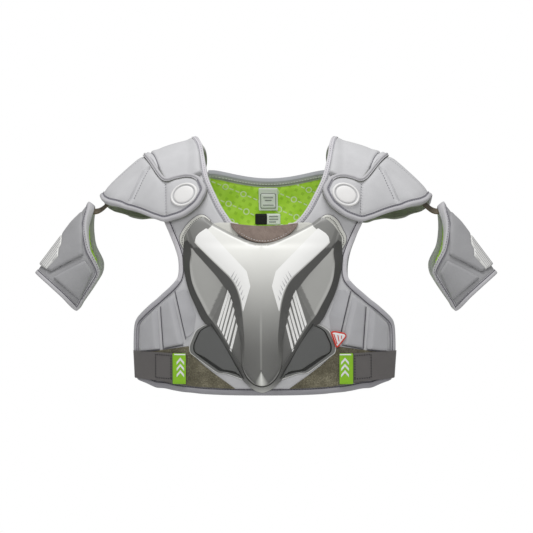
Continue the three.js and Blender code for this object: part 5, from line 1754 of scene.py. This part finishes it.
strap = {"halfWide": 13, "thick": 2.0, "slant": 0.26}
strapLine = smoothPath([(213, -60.5), (225.5, -73), (238, -84.5), (246, -88.5), (252.9, -88.6)], 1.2)
strapX, strapZ = strapLine[:, 0, None], strapLine[:, 1, None]
strapY = np.linspace(-strap["halfWide"], strap["halfWide"], 15)[None, :]
strapGrid = np.stack(np.broadcast_arrays(strapX, strapY, strapZ + strap["slant"] * strapY), -1)
strapPiece = sheetGrid("arm_strap_l", strapGrid, strap["thick"], strapCloth)
keepPair(strapPiece)
print("arm guards")


# Stitches, and dark lines of painted shade: one tree lays small threads along any run.
def stitchTree():
    tree = bpy.data.node_groups.new("stitch_run", "GeometryNodeTree")
    face = tree.interface
    face.new_socket("Geometry", in_out="INPUT", socket_type="NodeSocketGeometry")
    for name in ("Pitch", "Length", "Thickness"):
        face.new_socket(name, in_out="INPUT", socket_type="NodeSocketFloat")
    face.new_socket("Thread", in_out="INPUT", socket_type="NodeSocketMaterial")
    face.new_socket("Geometry", in_out="OUTPUT", socket_type="NodeSocketGeometry")
    given = addNode(tree, "NodeGroupInput").outputs

    def add(kind, inputs=None, **settings):
        return addNode(tree, kind, inputs, **settings).outputs[0]

    spacing = {"Curve": given["Geometry"], "Length": given["Pitch"]}
    spaced = add("GeometryNodeResampleCurve", spacing, mode="LENGTH")
    heading = add("GeometryNodeInputTangent")
    aligned = add("FunctionNodeAlignRotationToVector", {"Vector": heading}, axis="X")
    thread = add("GeometryNodeMeshUVSphere", {"Segments": 6, "Rings": 4, "Radius": 0.5})
    thick = given["Thickness"]
    size = add("ShaderNodeCombineXYZ", {"X": given["Length"], "Y": thick, "Z": thick})
    sized = add("GeometryNodeTransform", {"Geometry": thread, "Scale": size})
    placed = add("GeometryNodeInstanceOnPoints", {"Points": spaced, "Instance": sized, "Rotation": aligned})
    real = add("GeometryNodeRealizeInstances", {"Geometry": placed})
    coloured = add("GeometryNodeSetMaterial", {"Geometry": real, "Material": given["Thread"]})
    tree.links.new(coloured, addNode(tree, "NodeGroupOutput").inputs[0])
    return tree


stitches = {  # pitch, length and thickness of the stitches, their thread and their slot
    "light": (4.0, 2.7, 1.0, lightThread, "label_white"),
    "tab": (4.0, 2.7, 1.1, lightThread, "label_white"),
    "grey": (4.0, 2.6, 1.0, greyThread, "tape"),
    "dark": (4.0, 2.6, 1.0, darkThread, "elastic"),
    "box": (3.8, 2.0, 2.0, darkLabel, "elastic"),
    "white": (4.2, 3.0, 1.3, whiteThread, "label_white"),
    "teeth": (2.6, 1.1, 1.7, groovePlastic, "dark_plate"),
    "flute": (1.4, 2.4, 0.7, bandFurrowShade, "white_ridge"),
    # crease lines: dark thread laid as painted shade in grooves, between pads and under their edges
    "crease": (1.2, 2.0, 1.4, furrowShade, "tape"),
}
runTree = stitchTree()


def makeStitches(name, runs, look):
    pitch, length, thickness, thread, slot = look
    curve = bpy.data.curves.new(name, "CURVE")
    curve.dimensions = "3D"
    for run in (line for line in runs if len(line) > 1):
        spline = curve.splines.new("POLY")
        spline.points.add(len(run) - 1)
        spots = np.c_[np.asarray(run) * mm, np.ones(len(run))].astype(np.float32)
        spline.points.foreach_set("co", spots.ravel())
    guide = linkObject(name + "_guide", curve)
    modifier = guide.modifiers.new("stitches", "NODES")
    modifier.node_group = runTree
    values = {"Pitch": pitch * mm, "Length": length * mm, "Thickness": thickness * mm, "Thread": thread}
    for socket in runTree.interface.items_tree:
        if socket.in_out == "INPUT" and socket.name in values:
            modifier[socket.identifier] = values[socket.name]
    bpy.context.view_layer.update()
    mesh = bpy.data.meshes.new_from_object(guide.evaluated_get(bpy.context.evaluated_depsgraph_get()))
    guide.modifiers.remove(modifier)
    bpy.data.objects.remove(guide)
    bpy.data.curves.remove(curve)
    mesh.shade_smooth()
    return keepPiece(linkObject(name, mesh), [])


for kind, runs in stitchAndShadeRuns.items():
    makeStitches(f"stitches_{kind}", runs, stitches[kind])
print("stitches:", sum(len(runs) for runs in stitchAndShadeRuns.values()), "runs")

# The front of the shoulders sits a little towards one side, as the pads were laid out.
lean = {"shift": 2.6, "high": (-118, 23), "front": (-15, -45), "outer": (150, -45), "badge": 3.0}
ridgeLean = {"shift": -3.4, "high": (-70, 35), "rear": (-45, 45), "inner": (-60, -20), "outer": (-190, 45)}
rigid = "shown_cap_badge"
still = ("shown_arm", "shown_neck_tab", "stitches_tab", "shown_chest", "shown_plate_p", "shown_plate_s",
         "shown_plate_h", "shown_back", "shown_belt")


def leaned(points):
    x, y, z = points.T
    share = ramp(z, *lean["high"]) * ramp(y, *lean["front"])
    across = share * ramp(np.abs(x), *lean["outer"]) * lean["shift"]
    # the ridge of one shoulder leans the other way
    ridge = ramp(z, *ridgeLean["high"]) * ramp(y, *ridgeLean["rear"])
    ridge = ridge * ramp(x, *ridgeLean["inner"]) * ramp(x, *ridgeLean["outer"])
    return points + np.outer(across + ridgeLean["shift"] * ridge, [1, 0, 0])


def badgeMoved(points):
    return points + [lean["badge"], 0, 0]


for piece in bpy.context.scene.objects:
    if piece.name.startswith(("shown_", "stitches_")) and not piece.name.startswith(still):
        change = badgeMoved if piece.name.startswith(rigid) else leaned
        movePoints(piece.data, lambda spots: change(spots / mm) * mm)

# Stage: pale floor, soft light from above and in front, camera level with the middle of the pads.
stageLook = {"floor": -0.6, "floorRadius": 1.15, "floorSides": 64, "distance": 12.0, "turn": 2.8,
             "reach": 0.05, "acrossView": 0.77285, "aimX": 0.0007, "aimZ": -0.169,
             "ambient": 0.34, "lit": (0, 0, -0.15)}
floorMesh = bpy.data.meshes.new("floor")
floorTurns = np.linspace(0, 2 * math.pi, stageLook["floorSides"], endpoint=False)
floorWide, floorHigh = stageLook["floorRadius"], stageLook["floor"]
floorRing = [(floorWide * math.cos(turn), floorWide * math.sin(turn), floorHigh) for turn in floorTurns]
floorMesh.from_pydata(floorRing, [], [tuple(range(len(floorRing)))])
floor = linkObject("floor", floorMesh)
floorFinish, _, floorShader, _ = startFinish("pale_floor")
floorShader.inputs["Base Color"].default_value = (0.8, 0.8, 0.8, 1)
floorShader.inputs["Roughness"].default_value = 0.9
floorShader.inputs["Specular IOR Level"].default_value = 0.1
floorMesh.materials.append(floorFinish)

world = bpy.data.worlds.new("studio")
bpy.context.scene.world = world
world.use_nodes = True
worldTree = world.node_tree
worldTree.nodes.clear()
seen = addNode(worldTree, "ShaderNodeLightPath").outputs["Is Camera Ray"]
brightness = {"Value": seen, "To Min": stageLook["ambient"], "To Max": 1.0}
bright = addNode(worldTree, "ShaderNodeMapRange", brightness)
sky = addNode(worldTree, "ShaderNodeBackground", {"Color": white, "Strength": bright.outputs[0]})
worldTree.links.new(sky.outputs[0], addNode(worldTree, "ShaderNodeOutputWorld").inputs[0])


def softLight(name, place, size, power):
    lamp = bpy.data.lights.new(name, "AREA")
    lamp.shape = "DISK"
    lamp.size = size
    lamp.energy = power
    light = linkObject(name, lamp)
    light.location = place
    light.rotation_mode = "QUATERNION"
    light.rotation_quaternion = (Vector(stageLook["lit"]) - Vector(place)).to_track_quat("-Z", "Y")


softLight("overhead", (0, -0.8, 2.1), 1.3, 36)
softLight("front_left", (-0.8, -3.0, 1.2), 1.0, 12)
softLight("front_right", (0.8, -3.0, 1.2), 1.0, 12)
bpy.context.scene.view_settings.view_transform = "Standard"

camera = bpy.data.cameras.new("camera")
camera.sensor_width = 36
camera.lens = camera.sensor_width * (stageLook["distance"] - stageLook["reach"]) / stageLook["acrossView"]
camera.clip_end = 60
cameraObject = linkObject("camera", camera)
turn = math.radians(stageLook["turn"])
sideways, ahead = Vector((math.cos(turn), math.sin(turn), 0)), Vector((-math.sin(turn), math.cos(turn), 0))
aim = sideways * stageLook["aimX"] + Vector((0, 0, stageLook["aimZ"]))
cameraObject.location = aim - ahead * stageLook["distance"]
cameraObject.rotation_euler = (math.pi / 2, 0, turn)
bpy.context.scene.camera = cameraObject
